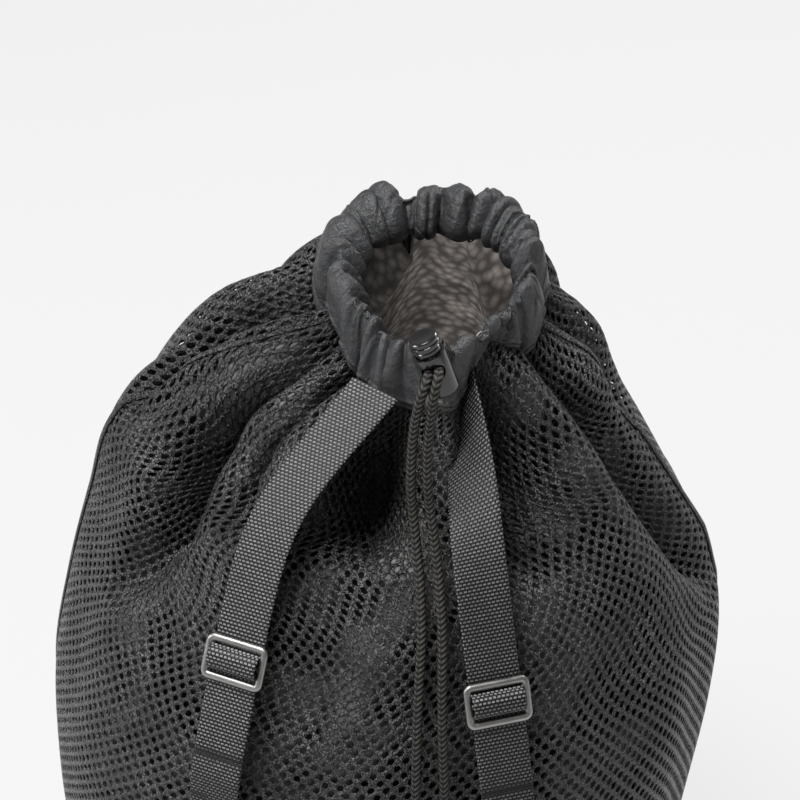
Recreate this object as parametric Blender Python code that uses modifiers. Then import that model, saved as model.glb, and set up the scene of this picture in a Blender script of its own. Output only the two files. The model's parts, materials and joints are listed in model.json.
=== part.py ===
"""Mesh drawstring ball bag with two adjustable webbing shoulder straps.

The bag stands on its base, stuffed full, with its gathered mouth half open.
Frame: origin at the middle of the base, on the ground; +Z up; the straps and the
cord lock are at the front, facing -Y; +X is to the right of someone facing the front.
All sizes are in metres.
"""
import math

import bmesh
import bpy
from mathutils import Matrix, Vector

# ------------------------------------------------------------------ driving sizes
BODY_HEIGHT = 0.422          # mesh body, from the ground to the middle of the collar seam
BODY_WIDTH = 0.350           # widest part of the stuffed mesh body, left to right
BODY_DEPTH = 0.330           # deepest part, front to back
MESH_THICKNESS = 0.0014      # knitted mesh, with its strands
GAP = 0.0003                 # between pieces that touch

MOUTH_SEAM_RADIUS = 0.058    # collar seam, where the mesh is gathered
MOUTH_SHIFT_X = 0.024        # the gathered mouth stands right of the middle
MOUTH_SHIFT_Y = -0.012       # and a little forward
MOUTH_TILT = math.radians(18)   # the mouth faces up and forward

COLLAR_HEIGHT = 0.034        # drawcord tunnel above its seam
COLLAR_THICKNESS = 0.0012
COLLAR_TAPE_WIDTH = 0.008    # tape sewn inside over the collar seam
COLLAR_TAPE_THICKNESS = 0.0008
COLLAR_TAPE_INSET = 0.0015   # air between the tape and the mesh
COLLAR_TAPE_DROP = 0.6       # how steeply the tape runs down, as a share of its width

BASE_THICKNESS = 0.003
BASE_TAPE_HEIGHT = 0.008
BASE_TAPE_THICKNESS = 0.0010
SEAM_TAPE_WIDTH = 0.006      # side seam tape
SEAM_TAPE_THICKNESS = 0.0020

CORD_DIAMETER = 0.0046
CORD_SIDE_GAP = 0.0004       # between the two cords where they lie side by side
KNOT_DIAMETER = 0.0105
KNOT_LENGTH = 0.0120
KNOT_TIP_LENGTH = 0.010

LOCK_BARREL_DIAMETER = 0.0154
LOCK_BARREL_LENGTH = 0.0220
LOCK_WALL = 0.0013
LOCK_FLOOR = 0.0016
LOCK_HOLE_WIDTH = 0.0108
LOCK_HOLE_HEIGHT = 0.0085
LOCK_HOLE_CORNER = 0.0040
LOCK_HOLE_BELOW_TOP = 0.0074
LOCK_ROUND_OFF = 0.0022      # round of the barrel's bottom edge
LOCK_EDGE = 0.0004           # small rounds and grooves on the barrel and plunger
LOCK_LEAN = math.radians(20)    # the barrel's top leans to the left
LOCK_OUTWARD = 0.0054        # middle of the lock, outward from the collar seam
LOCK_ABOVE_SEAM = 0.0329     # cord hole above the front of the collar seam
LOCK_SIDE_PLAY = 0.0053      # between the barrel and the collar, each side of the front opening
COLLAR_GAP_HALF_WIDTH = LOCK_BARREL_DIAMETER / 2 + LOCK_SIDE_PLAY
PLUNGER_TRAVEL = 0.0040
PLUNGER_CLEARANCE = 0.00035
PLUNGER_SLOT_CORNER = 0.0012
PLUNGER_SLOT_SPARE = 0.0008  # air over the cords when the plunger is fully pressed
PLUNGER_BELOW_HOLE = 0.0016  # the plunger's foot under the cord hole
PLUNGER_HEAD_DIAMETER = 0.0140
PLUNGER_HEAD_HEIGHT = 0.0046
PLUNGER_HEAD_ROUND = 0.0012
PLUNGER_GROOVE = 0.42        # height of the groove on the head, as a share of it
PLUNGER_GROOVE_DEPTH = 0.0006
PLUNGER_NECK_DIAMETER = 0.0112
PLUNGER_NECK_HEIGHT = 0.0014
SPRING_WIRE = 0.0006
SPRING_DIAMETER = 0.0090
SPRING_TURNS = 4

WEBBING_WIDTH = 0.025
WEBBING_THICKNESS = 0.0014
STRAP_STAND_OFF = 0.0012     # air between the webbing and the mesh
GLIDE_REACH = 0.052          # straight stretch each side of the adjuster
GLIDE_RETURN = 0.045         # stretch below it over which the strap settles on the mesh
GLIDE_RISE = 0.027           # and the same above it
RETURN_INSET = 0.006         # the return layer starts this far below the adjuster's middle

ADJUSTER_HEIGHT = 0.0220
ADJUSTER_THICKNESS = 0.0026
ADJUSTER_SIDE_BAR = 0.0030
ADJUSTER_PLAY = 0.0005       # between the webbing's edge and the adjuster's side bar
ADJUSTER_WIDTH = WEBBING_WIDTH + 2 * (ADJUSTER_PLAY + ADJUSTER_SIDE_BAR)
ADJUSTER_END_BAR = 0.0034
ADJUSTER_MIDDLE_BAR = 0.0026
ADJUSTER_CORNER = 0.0042
ADJUSTER_EDGE = 0.0004
WINDOW_CORNER = 0.0009
ARCH_LENGTH = 0.0115         # webbing that arches over the adjuster's middle bar

RING_HEIGHT = 0.0150
RING_WIRE = 0.0030
RING_PLAY = 0.0015           # between the webbing's edge and the ring's side
RING_WIDTH = WEBBING_WIDTH + 2 * (RING_PLAY + RING_WIRE)
RING_CORNER = 0.0024
RING_Z = 0.050               # middle of the strap's lower ring
TURN_LEG = 0.0055            # legs of the webbing that turns round the ring
TAB_WIDTH = 0.024
TAB_LENGTH = 0.026
TACK_STEPS = 3               # strap points that the stitched block covers
TACK_INSET = 0.004
TACK_THICKNESS = 0.0006
TACK_CLEARANCE = 0.0008

# Body levels, bottom to top. The sizes are shares of BODY_HEIGHT, BODY_WIDTH and
# BODY_DEPTH; the drift and the tilt are shares of the mouth's shift and tilt.
# height, left, right, front, back, drift, squareness, tilt
BODY_LEVELS = (
    (0.0125, 0.352, 0.336, 0.344, 0.340, 0.00, 2.40, 0.0),
    (0.047, 0.418, 0.394, 0.404, 0.396, 0.00, 2.40, 0.0),
    (0.154, 0.469, 0.438, 0.456, 0.446, 0.00, 2.30, 0.0),
    (0.308, 0.503, 0.469, 0.497, 0.473, 0.00, 2.20, 0.0),
    (0.474, 0.500, 0.494, 0.503, 0.479, 0.00, 2.20, 0.0),
    (0.616, 0.474, 0.480, 0.473, 0.455, 0.17, 2.10, 0.0),
    (0.746, 0.440, 0.417, 0.400, 0.394, 0.33, 2.00, 0.1),
    (0.853, 0.411, 0.349, 0.309, 0.315, 0.52, 2.00, 0.4),
    (0.936, 0.337, 0.280, 0.236, 0.242, 0.80, 2.00, 0.8),
)

# Strap routes down the front: (share of BODY_WIDTH to the right of the middle,
# share of BODY_HEIGHT). The adjuster sits on the straight stretch.
STRAPS = {
    "left": {
        "route": ((-0.022, 0.955), (-0.050, 0.925), (-0.085, 0.880), (-0.122, 0.825),
                  (-0.174, 0.737), (-0.206, 0.630), (-0.222, 0.540), (-0.240, 0.430),
                  (-0.256, 0.310), (-0.264, 0.200), (-0.266, 0.118)),
        "adjuster": (-0.188, 0.716),
        "lean": math.radians(-13),
        "twist": math.radians(0),
    },
    "right": {
        "route": ((0.126, 0.955), (0.112, 0.925), (0.108, 0.880), (0.115, 0.825),
                  (0.133, 0.737), (0.154, 0.630), (0.168, 0.540), (0.184, 0.430),
                  (0.200, 0.310), (0.210, 0.200), (0.212, 0.118)),
        "adjuster": (0.150, 0.690),
        "lean": math.radians(8),
        "twist": math.radians(42),
    },
}
TWIST_HEIGHT = 0.06          # the right strap untwists over this drop from the collar

# Tails of the drawcord from the lock's cord hole to their knots, in metres.
TAIL_ROUTES = {
    "left": ((0.02165, -0.0760, 0.4334), (0.0216, -0.0800, 0.4334), (0.0213, -0.0845, 0.4332),
             (0.0202, -0.0878, 0.4314), (0.0184, -0.0900, 0.4272), (0.0166, -0.0912, 0.4200),
             (0.0152, -0.0925, 0.4110), (0.0143, -0.0942, 0.4020), (0.0139, -0.0965, 0.3930),
             (0.0138, -0.0990, 0.3830),
             (0.0144, -0.1002, 0.3730), (0.0156, -0.1042, 0.3625), (0.0168, -0.1105, 0.3522),
             (0.0180, -0.1180, 0.3422), (0.0187, -0.1338, 0.3221), (0.0174, -0.1466, 0.3017),
             (0.0166, -0.1560, 0.2814), (0.0162, -0.1630, 0.2609), (0.0160, -0.1674, 0.2406),
             (0.0158, -0.1702, 0.2190), (0.0156, -0.1712, 0.1960), (0.0154, -0.1715, 0.1730),
             (0.0150, -0.1716, 0.1500), (0.0145, -0.1716, 0.1280)),
    "right": ((0.02635, -0.0760, 0.4352), (0.0263, -0.0800, 0.4352), (0.0261, -0.0845, 0.4350),
              (0.0254, -0.0878, 0.4332), (0.0243, -0.0900, 0.4288), (0.0232, -0.0912, 0.4210),
              (0.0222, -0.0925, 0.4115), (0.0214, -0.0942, 0.4025), (0.0212, -0.0965, 0.3932),
              (0.0214, -0.0990, 0.3830),
              (0.0224, -0.1002, 0.3730), (0.0240, -0.1042, 0.3625), (0.0255, -0.1102, 0.3522),
              (0.0268, -0.1176, 0.3422), (0.0282, -0.1333, 0.3221), (0.0282, -0.1458, 0.3017),
              (0.0284, -0.1551, 0.2814), (0.0292, -0.1620, 0.2609), (0.0298, -0.1664, 0.2406),
              (0.0302, -0.1694, 0.2190), (0.0305, -0.1706, 0.1960), (0.0308, -0.1710, 0.1730),
              (0.0312, -0.1711, 0.1500), (0.0318, -0.1711, 0.1200)),
}
TAIL_POINTS = 44             # points read from each tail's smooth curve

# Drawcord inside the collar: shares of COLLAR_HEIGHT outward and up from the seam, and its
# lead into the lock's hole as (outward to its side, back, down) from its place in the hole.
LOOP_OUTWARD = -0.17
LOOP_RISE = 0.68
LOOP_LEAD_ANGLE = math.radians(19)
LOOP_LEAD = ((0.0, 0.0, 0.0), (0.0, 0.0060, 0.0), (0.0006, 0.0120, 0.0002),
             (0.0050, 0.0175, 0.0004))
LOOP_POINTS = 70

# ------------------------------------------------------------------ mesh resolution
PANEL_COLUMNS = 22
PANEL_ROWS = 20
COLLAR_COLUMNS = 36
RING_STEPS = 40
LOOP_STEPS = 34
CORD_SIDES_LEVEL = 2         # bevel_resolution of the cords
LOCK_STEPS = 32
STRAP_STEPS = (8, 6, 12)     # above the adjuster's straight stretch, on it, and below
BLEND_STEPS = 5
ARCH_STEPS = 10
KNOT_STEPS = 14

BAG_COLLECTION = "mesh_ball_bag"
CUTTER_COLLECTION = "cutters"

# colour (linear RGB), roughness, metallic
FINISHES = {
    "mesh": ((0.018, 0.018, 0.020), 0.62, 0.0),
    "nylon": ((0.030, 0.031, 0.034), 0.42, 0.0),
    "webbing": ((0.028, 0.029, 0.031), 0.70, 0.0),
    "cord": ((0.026, 0.025, 0.024), 0.75, 0.0),
    "plastic": ((0.015, 0.015, 0.017), 0.30, 0.0),
    "nickel": ((0.42, 0.41, 0.40), 0.34, 1.0),
    "spring": ((0.55, 0.55, 0.55), 0.25, 1.0),
    "thread": ((0.022, 0.022, 0.024), 0.80, 0.0),
}


# ------------------------------------------------------------------ scene helpers
def clear_scene():
    for found in list(bpy.data.objects):
        bpy.data.objects.remove(found, do_unlink=True)


def make_collection(name):
    collection = bpy.data.collections.new(name)
    bpy.context.scene.collection.children.link(collection)
    return collection


def make_material(finish):
    name = "mat_" + finish
    if name in bpy.data.materials:
        return bpy.data.materials[name]
    colour, roughness, metallic = FINISHES[finish]
    material = bpy.data.materials.new(name)
    material.use_nodes = True
    shader = material.node_tree.nodes["Principled BSDF"]
    shader.inputs["Base Color"].default_value = (*colour, 1.0)
    shader.inputs["Roughness"].default_value = roughness
    shader.inputs["Metallic"].default_value = metallic
    return material


def add_object(name, data, finish, parent=None):
    piece = bpy.data.objects.new(name, data)
    data.materials.append(make_material(finish))
    bpy.data.collections[BAG_COLLECTION].objects.link(piece)
    piece.parent = parent
    return piece


def add_empty(name, location, rotation=(0.0, 0.0, 0.0)):
    empty = bpy.data.objects.new(name, None)
    bpy.data.collections[BAG_COLLECTION].objects.link(empty)
    empty.location = location
    empty.rotation_euler = rotation
    return empty


def mapped_sheet(name, finish, columns, rows, place, thickness, closed=False):
    """A sheet of columns x rows faces, laid where place(u, v) says, then given its
    thickness on both sides of that surface."""
    sheet = bmesh.new()
    bmesh.ops.create_grid(sheet, x_segments=columns, y_segments=rows, size=0.5)
    for vertex in sheet.verts:
        vertex.co = place(vertex.co.x + 0.5, vertex.co.y + 0.5)
    if closed:
        bmesh.ops.remove_doubles(sheet, verts=sheet.verts, dist=1e-6)
    data = bpy.data.meshes.new(name)
    sheet.to_mesh(data)
    sheet.free()
    data.shade_smooth()
    piece = add_object(name, data, finish)
    solid = piece.modifiers.new("thickness", "SOLIDIFY")
    solid.thickness = thickness
    solid.offset = 0.0
    solid.use_even_offset = True
    return piece


def turned(name, finish, profile, steps, parent=None):
    """A turned piece: the profile of (radius, height) runs down its outer side."""
    data = bpy.data.meshes.new(name)
    corners = [(radius, 0.0, height) for radius, height in profile]
    edges = [(i, i + 1) for i in range(len(corners) - 1)]
    data.from_pydata(corners, edges, [])
    piece = add_object(name, data, finish, parent)
    screw = piece.modifiers.new("turn", "SCREW")
    screw.steps = steps
    screw.render_steps = steps
    screw.use_merge_vertices = True
    screw.merge_threshold = 0.00001
    return piece


def tube(name, finish, points, radius, sides_level, cyclic=False, parent=None):
    data = bpy.data.curves.new(name, "CURVE")
    data.dimensions = "3D"
    data.bevel_depth = radius
    data.bevel_resolution = sides_level
    data.use_fill_caps = not cyclic
    data.resolution_u = 1
    spline = data.splines.new("POLY")
    spline.points.add(len(points) - 1)
    for target, point in zip(spline.points, points):
        target.co = (*point, 1.0)
    spline.use_cyclic_u = cyclic
    return add_object(name, data, finish, parent)


def flat_outline(name, finish, loops, thickness, edge, parent=None):
    """A flat plate from 2D loops; a loop inside another is a window."""
    data = bpy.data.curves.new(name, "CURVE")
    data.dimensions = "2D"
    data.fill_mode = "BOTH"
    data.extrude = thickness / 2 - edge
    data.bevel_depth = edge
    data.bevel_resolution = 0
    data.offset = -edge
    for loop in loops:
        spline = data.splines.new("POLY")
        spline.points.add(len(loop) - 1)
        for target, (x, y) in zip(spline.points, loop):
            target.co = (x, y, 0.0, 1.0)
        spline.use_cyclic_u = True
    return add_object(name, data, finish, parent)


def rounded_rectangle(width, height, corner, centre_y=0.0, corner_steps=4):
    points = []
    for quarter, (sx, sy) in enumerate(((1, 1), (-1, 1), (-1, -1), (1, -1))):
        for step in range(corner_steps + 1):
            turn = math.pi / 2 * (quarter + step / corner_steps)
            x = sx * (width / 2 - corner) + corner * math.cos(turn)
            y = centre_y + sy * (height / 2 - corner) + corner * math.sin(turn)
            points.append((x, y))
    return points


# ------------------------------------------------------------------ curves and surfaces
def smooth_value(x, xs, ys):
    """A smooth curve through (xs, ys), read at x."""
    last = len(xs) - 1
    slopes = []
    for i in range(len(xs)):
        before, after = max(i - 1, 0), min(i + 1, last)
        slopes.append((ys[after] - ys[before]) / (xs[after] - xs[before]))
    i = 0
    while i < last - 1 and x > xs[i + 1]:
        i += 1
    span = xs[i + 1] - xs[i]
    t = (x - xs[i]) / span
    rise = ys[i] * (2 * t ** 3 - 3 * t ** 2 + 1) + ys[i + 1] * (3 * t ** 2 - 2 * t ** 3)
    lean = slopes[i] * (t ** 3 - 2 * t ** 2 + t) + slopes[i + 1] * (t ** 3 - t ** 2)
    return rise + span * lean


def smooth_points(route, count):
    """count points, evenly spaced along a smooth curve through the route."""
    lengths = [0.0]
    for a, b in zip(route, route[1:]):
        lengths.append(lengths[-1] + (Vector(b) - Vector(a)).length)
    columns = [[point[axis] for point in route] for axis in range(3)]
    places = [lengths[-1] * i / (count - 1) for i in range(count)]
    return [Vector([smooth_value(s, lengths, column) for column in columns]) for s in places]


def body_rows():
    """The body levels in metres, closed at the top by the collar seam."""
    rows = []
    for height, left, right, front, back, drift, squareness, tilt in BODY_LEVELS:
        rows.append((height * BODY_HEIGHT, left * BODY_WIDTH, right * BODY_WIDTH,
                     front * BODY_DEPTH, back * BODY_DEPTH, drift, squareness, tilt))
    radius = MOUTH_SEAM_RADIUS
    rows.append((BODY_HEIGHT, radius, radius, radius, radius, 1.0, 2.0, 1.0))
    return rows


ROWS = body_rows()
COLUMNS = list(zip(*ROWS))


def level_at(height):
    """Half sizes, middle, squareness and tilt of the body's outline at a height."""
    left, right, front, back, drift, squareness, tilt = [
        smooth_value(height, COLUMNS[0], column) for column in COLUMNS[1:]]
    middle = (drift * MOUTH_SHIFT_X, drift * MOUTH_SHIFT_Y)
    return left, right, front, back, middle, squareness, tilt * math.tan(MOUTH_TILT)


def body_point(angle, height, inset=0.0):
    """A point on the body: angle 0 is the right side, -90 degrees the front."""
    left, right, front, back, middle, squareness, tilt = level_at(height)
    across = math.cos(angle)
    along = math.sin(angle)
    half_x = (right if across > 0 else left) - inset
    half_y = (back if along > 0 else front) - inset
    power = 2.0 / squareness
    x = middle[0] + math.copysign(abs(across) ** power, across) * half_x
    y = math.copysign(abs(along) ** power, along) * half_y
    return Vector((x, middle[1] + y, height + tilt * y))


def front_point(x, z):
    """The point of the body's front at x and z."""
    low, high = ROWS[0][0], BODY_HEIGHT + 0.03
    for _ in range(40):
        height = (low + high) / 2
        left, right, front, _, middle, squareness, tilt = level_at(min(height, BODY_HEIGHT))
        offset = x - middle[0]
        share = min(abs(offset) / (right if offset > 0 else left), 0.999)
        y = -front * (1 - share ** squareness) ** (1 / squareness)
        if height + tilt * y < z:
            low = height
        else:
            high = height
    return Vector((x, middle[1] + y, z))


def front_normal(x, z):
    step = 0.004
    across = front_point(x + step, z) - front_point(x - step, z)
    upward = front_point(x, z + step) - front_point(x, z - step)
    return across.cross(upward).normalized()


def side_angle(height, distance, at_back):
    """The angle at which the outline is this far behind or in front of its side."""
    half = level_at(height)[3 if at_back else 2]
    squareness = level_at(height)[5]
    return math.asin((distance / half) ** (squareness / 2))


# ------------------------------------------------------------------ mesh body and base
def body_heights(share):
    return ROWS[0][0] + GAP + share * (BODY_HEIGHT - ROWS[0][0] - GAP)


def body_panel(name, at_back):
    """Half of the mesh body, from side seam to side seam."""
    edge = SEAM_TAPE_WIDTH / 2 + GAP + SEAM_TAPE_THICKNESS / 2

    def place(u, v):
        height = body_heights(v)
        start = side_angle(height, edge, at_back)
        angle = start + u * (math.pi - 2 * start)
        return body_point(angle if at_back else angle - math.pi, height)

    return mapped_sheet(name, "mesh", PANEL_COLUMNS, PANEL_ROWS, place, MESH_THICKNESS)


def side_seam(name, on_right):
    """Seam tape between the front and back panels."""
    def place(u, v):
        height = body_heights(v)
        share = 2 * u - 1
        reach = side_angle(height, abs(share) * SEAM_TAPE_WIDTH / 2, share > 0)
        turn = math.copysign(reach, share)
        return body_point(turn if on_right else math.pi - turn, height)

    return mapped_sheet(name, "nylon", 2, PANEL_ROWS, place, SEAM_TAPE_THICKNESS)


def base_loop(inset):
    """The outline of the mesh body's lower edge."""
    turns = [2 * math.pi * i / RING_STEPS for i in range(RING_STEPS)]
    return [body_point(turn, ROWS[0][0], inset) for turn in turns]


def base_panel():
    """Coated nylon base that the bag stands on."""
    outline = [(point.x, point.y) for point in base_loop(-MESH_THICKNESS)]
    plate = flat_outline("base_panel", "nylon", [outline], BASE_THICKNESS, ADJUSTER_EDGE)
    plate.location.z = BASE_THICKNESS / 2
    return plate


def base_tape():
    """Binding sewn inside, round the base seam."""
    inset = MESH_THICKNESS / 2 + BASE_TAPE_THICKNESS / 2 + GAP * 2
    foot = BASE_THICKNESS + GAP * 2

    def place(u, v):
        point = body_point(2 * math.pi * u, ROWS[0][0], inset)
        point.z = foot + v * BASE_TAPE_HEIGHT
        return point

    return mapped_sheet("base_seam_tape", "nylon", RING_STEPS, 1, place,
                        BASE_TAPE_THICKNESS, closed=True)


# ------------------------------------------------------------------ collar and drawcord
# Collar tunnel in section: out from the seam (share of COLLAR_HEIGHT), up from it.
COLLAR_SECTION = ((0.04, 0.03), (0.12, 0.30), (0.10, 0.62), (-0.03, 0.90), (-0.20, 1.00),
                  (-0.38, 0.90), (-0.48, 0.62), (-0.46, 0.30), (-0.30, 0.05))


def mouth_point(angle, outward, rise):
    """A point by the mouth: outward from the seam circle, and up from its plane."""
    radius = MOUTH_SEAM_RADIUS + outward
    x = radius * math.cos(angle)
    y = radius * math.sin(angle)
    lift = math.tan(MOUTH_TILT) * y
    return Vector((MOUTH_SHIFT_X + x, MOUTH_SHIFT_Y + y, BODY_HEIGHT + lift + rise))


def collar_angles(u):
    """From one side of the front opening, round the back, to its other side."""
    half_gap = math.asin(COLLAR_GAP_HALF_WIDTH / MOUTH_SEAM_RADIUS)
    return -math.pi / 2 + half_gap + u * (2 * math.pi - 2 * half_gap)


def collar_tunnel():
    """Folded nylon tunnel that holds the drawcord, open at the front and below."""
    shares = [i / (len(COLLAR_SECTION) - 1) for i in range(len(COLLAR_SECTION))]

    def place(u, v):
        outward = smooth_value(v, shares, [out for out, _ in COLLAR_SECTION])
        rise = smooth_value(v, shares, [up for _, up in COLLAR_SECTION])
        lift = COLLAR_THICKNESS / 2 + MESH_THICKNESS / 2 + GAP
        return mouth_point(collar_angles(u), outward * COLLAR_HEIGHT,
                           rise * COLLAR_HEIGHT + lift)

    rows = len(COLLAR_SECTION) + 3
    return mapped_sheet("collar_tunnel", "nylon", COLLAR_COLUMNS, rows, place, COLLAR_THICKNESS)


def collar_tape():
    """Tape sewn inside the mouth, over the seam between mesh and collar."""
    inset = -MESH_THICKNESS / 2 - COLLAR_TAPE_THICKNESS / 2 - COLLAR_TAPE_INSET

    def place(u, v):
        drop = v * COLLAR_TAPE_WIDTH + MESH_THICKNESS + GAP
        return mouth_point(2 * math.pi * u, inset, -drop * COLLAR_TAPE_DROP)

    return mapped_sheet("collar_seam_tape", "thread", RING_STEPS, 1, place,
                        COLLAR_TAPE_THICKNESS, closed=True)


def lock_place():
    """Middle of the lock's cord hole."""
    return mouth_point(-math.pi / 2, LOCK_OUTWARD, 0.0) + Vector((0.0, 0.0, LOCK_ABOVE_SEAM))


def drawcord_loop():
    """The part of the drawcord inside the tunnel, out to the middle of the lock's hole."""
    outward = LOOP_OUTWARD * COLLAR_HEIGHT
    rise = LOOP_RISE * COLLAR_HEIGHT
    tunnel = []
    for i in range(LOOP_STEPS + 1):
        angle = LOOP_LEAD_ANGLE + i / LOOP_STEPS * (2 * math.pi - 2 * LOOP_LEAD_ANGLE)
        tunnel.append(mouth_point(angle - math.pi / 2, outward, rise))
    hole = lock_place()
    spread = (CORD_DIAMETER + CORD_SIDE_GAP) / 2
    leads = {}
    for way in (1, -1):
        side = Vector((math.cos(LOCK_LEAN), 0.0, math.sin(LOCK_LEAN))) * (way * spread)
        leads[way] = [hole + side + Vector((way * out, back, -drop))
                      for out, back, drop in LOOP_LEAD]
    route = leads[1] + tunnel + leads[-1][::-1]
    return tube("drawcord_loop", "cord", smooth_points(route, LOOP_POINTS), CORD_DIAMETER / 2,
                CORD_SIDES_LEVEL)


def drawcord_tail(side):
    points = smooth_points(TAIL_ROUTES[side], TAIL_POINTS)
    return tube("drawcord_tail_" + side, "cord", points, CORD_DIAMETER / 2, CORD_SIDES_LEVEL)


def cord_knot(side):
    """Knot and sealed tip at the end of a tail."""
    end = Vector(TAIL_ROUTES[side][-1])
    tip = CORD_DIAMETER / 2
    knot = KNOT_DIAMETER / 2
    profile = [(0.0, 0.0), (tip, 0.0)]
    for step in range(1, 6):
        turn = math.pi * step / 6
        height = -KNOT_LENGTH / 2 * (1 - math.cos(turn))
        profile.append((tip + (knot - tip) * math.sin(turn), height))
    profile += [(tip, -KNOT_LENGTH), (tip, -KNOT_LENGTH - KNOT_TIP_LENGTH),
                (0.0, -KNOT_LENGTH - KNOT_TIP_LENGTH)]
    piece = turned("cord_knot_" + side, "cord", profile, KNOT_STEPS)
    piece.location = end - Vector((0.0, 0.0, GAP))
    return piece


# ------------------------------------------------------------------ cord lock
# Heights in the lock's own frame: 0 is the middle of the cord hole.
BARREL_TOP = LOCK_HOLE_BELOW_TOP
BARREL_BOTTOM = BARREL_TOP - LOCK_BARREL_LENGTH
BORE_RADIUS = LOCK_BARREL_DIAMETER / 2 - LOCK_WALL
PLUNGER_RADIUS = BORE_RADIUS - PLUNGER_CLEARANCE
PLUNGER_BOTTOM = -LOCK_HOLE_HEIGHT / 2 - PLUNGER_BELOW_HOLE
HEAD_BOTTOM = BARREL_TOP + PLUNGER_TRAVEL + GAP


def hole_cutter(name, width, low, high, corner, parent):
    """A rounded bar right through the lock, along Y, from low to high."""
    data = bpy.data.curves.new(name, "CURVE")
    data.dimensions = "2D"
    data.fill_mode = "BOTH"
    data.extrude = LOCK_BARREL_DIAMETER
    spline = data.splines.new("POLY")
    loop = rounded_rectangle(width, high - low, corner, (low + high) / 2, 6)
    spline.points.add(len(loop) - 1)
    for target, (x, y) in zip(spline.points, loop):
        target.co = (x, y, 0.0, 1.0)
    spline.use_cyclic_u = True
    drawn = bpy.data.objects.new(name + "_curve", data)
    bpy.data.collections[CUTTER_COLLECTION].objects.link(drawn)
    bpy.context.view_layer.update()
    solid = bpy.data.meshes.new_from_object(drawn.evaluated_get(bpy.context.evaluated_depsgraph_get()))
    bpy.data.objects.remove(drawn, do_unlink=True)
    welded = bmesh.new()
    welded.from_mesh(solid)
    bmesh.ops.remove_doubles(welded, verts=welded.verts, dist=1e-6)
    bmesh.ops.rotate(welded, verts=welded.verts, cent=(0, 0, 0),
                     matrix=Matrix.Rotation(math.pi / 2, 3, "X"))
    welded.to_mesh(solid)
    welded.free()
    cutter = bpy.data.objects.new(name, solid)
    bpy.data.collections[CUTTER_COLLECTION].objects.link(cutter)
    cutter.parent = parent
    cutter.hide_render = True
    cutter.display_type = "WIRE"
    return cutter


def cut(piece, cutter):
    boolean = piece.modifiers.new("cut_" + cutter.name, "BOOLEAN")
    boolean.operation = "DIFFERENCE"
    boolean.solver = "EXACT"
    boolean.object = cutter


def lock_barrel(frame):
    """Cup-shaped barrel with a wide cord hole right through it."""
    outer = LOCK_BARREL_DIAMETER / 2
    round_off = LOCK_ROUND_OFF
    profile = [(BORE_RADIUS, BARREL_TOP), (outer - LOCK_EDGE, BARREL_TOP),
               (outer, BARREL_TOP - LOCK_EDGE), (outer, BARREL_BOTTOM + round_off)]
    for step in range(1, 5):
        turn = math.pi / 2 * step / 4
        profile.append((outer - round_off * (1 - math.cos(turn)),
                        BARREL_BOTTOM + round_off * (1 - math.sin(turn))))
    profile += [(0.0, BARREL_BOTTOM)]
    floor = BARREL_BOTTOM + LOCK_FLOOR
    profile = [(0.0, floor), (BORE_RADIUS, floor)] + profile
    piece = turned("cord_lock_barrel", "plastic", profile, LOCK_STEPS, frame)
    cut(piece, hole_cutter("barrel_hole_cutter", LOCK_HOLE_WIDTH, -LOCK_HOLE_HEIGHT / 2,
                           LOCK_HOLE_HEIGHT / 2, LOCK_HOLE_CORNER, frame))
    return piece


def lock_plunger(frame):
    """Push button whose slot stays round the cords through its whole travel."""
    head = PLUNGER_HEAD_DIAMETER / 2
    neck = PLUNGER_NECK_DIAMETER / 2
    head_top = HEAD_BOTTOM + PLUNGER_HEAD_HEIGHT
    groove = HEAD_BOTTOM + PLUNGER_HEAD_HEIGHT * PLUNGER_GROOVE
    profile = [(0.0, head_top), (head - PLUNGER_HEAD_ROUND, head_top),
               (head, head_top - PLUNGER_HEAD_ROUND * 0.75),
               (head, groove + LOCK_EDGE), (head - PLUNGER_GROOVE_DEPTH, groove),
               (head, groove - LOCK_EDGE), (head, HEAD_BOTTOM), (neck, HEAD_BOTTOM),
               (neck, HEAD_BOTTOM - PLUNGER_NECK_HEIGHT),
               (PLUNGER_RADIUS, HEAD_BOTTOM - PLUNGER_NECK_HEIGHT - LOCK_EDGE),
               (PLUNGER_RADIUS, PLUNGER_BOTTOM), (0.0, PLUNGER_BOTTOM)]
    piece = turned("cord_lock_plunger", "plastic", profile, LOCK_STEPS, frame)
    slot_width = 2 * CORD_DIAMETER + CORD_SIDE_GAP + 2 * PLUNGER_CLEARANCE
    slot_top = CORD_DIAMETER / 2 + PLUNGER_TRAVEL + 2 * PLUNGER_CLEARANCE + PLUNGER_SLOT_SPARE
    cut(piece, hole_cutter("plunger_slot_cutter", slot_width, -LOCK_HOLE_HEIGHT / 2 + LOCK_EDGE,
                           slot_top, PLUNGER_SLOT_CORNER, frame))
    return piece


def lock_spring(frame):
    """Return spring under the plunger."""
    low = BARREL_BOTTOM + LOCK_FLOOR + SPRING_WIRE / 2 + GAP
    high = PLUNGER_BOTTOM - SPRING_WIRE / 2 - GAP
    per_turn = 12
    count = SPRING_TURNS * per_turn
    radius = (SPRING_DIAMETER - SPRING_WIRE) / 2
    points = []
    for i in range(count + 1):
        turn = 2 * math.pi * i / per_turn
        height = low + (high - low) * i / count
        points.append(Vector((radius * math.cos(turn), radius * math.sin(turn), height)))
    return tube("cord_lock_spring", "spring", points, SPRING_WIRE / 2, 1, parent=frame)


# ------------------------------------------------------------------ straps
def webbing(name, path, widths, thickness=WEBBING_THICKNESS, width=WEBBING_WIDTH):
    """Flat webbing along path; widths gives its sideways direction at each point."""
    last = len(path) - 1

    def place(u, v):
        i = round(v * last)
        return path[i] + widths[i] * ((u - 0.5) * width)

    return mapped_sheet(name, "webbing", 2, last, place, thickness)


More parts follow.
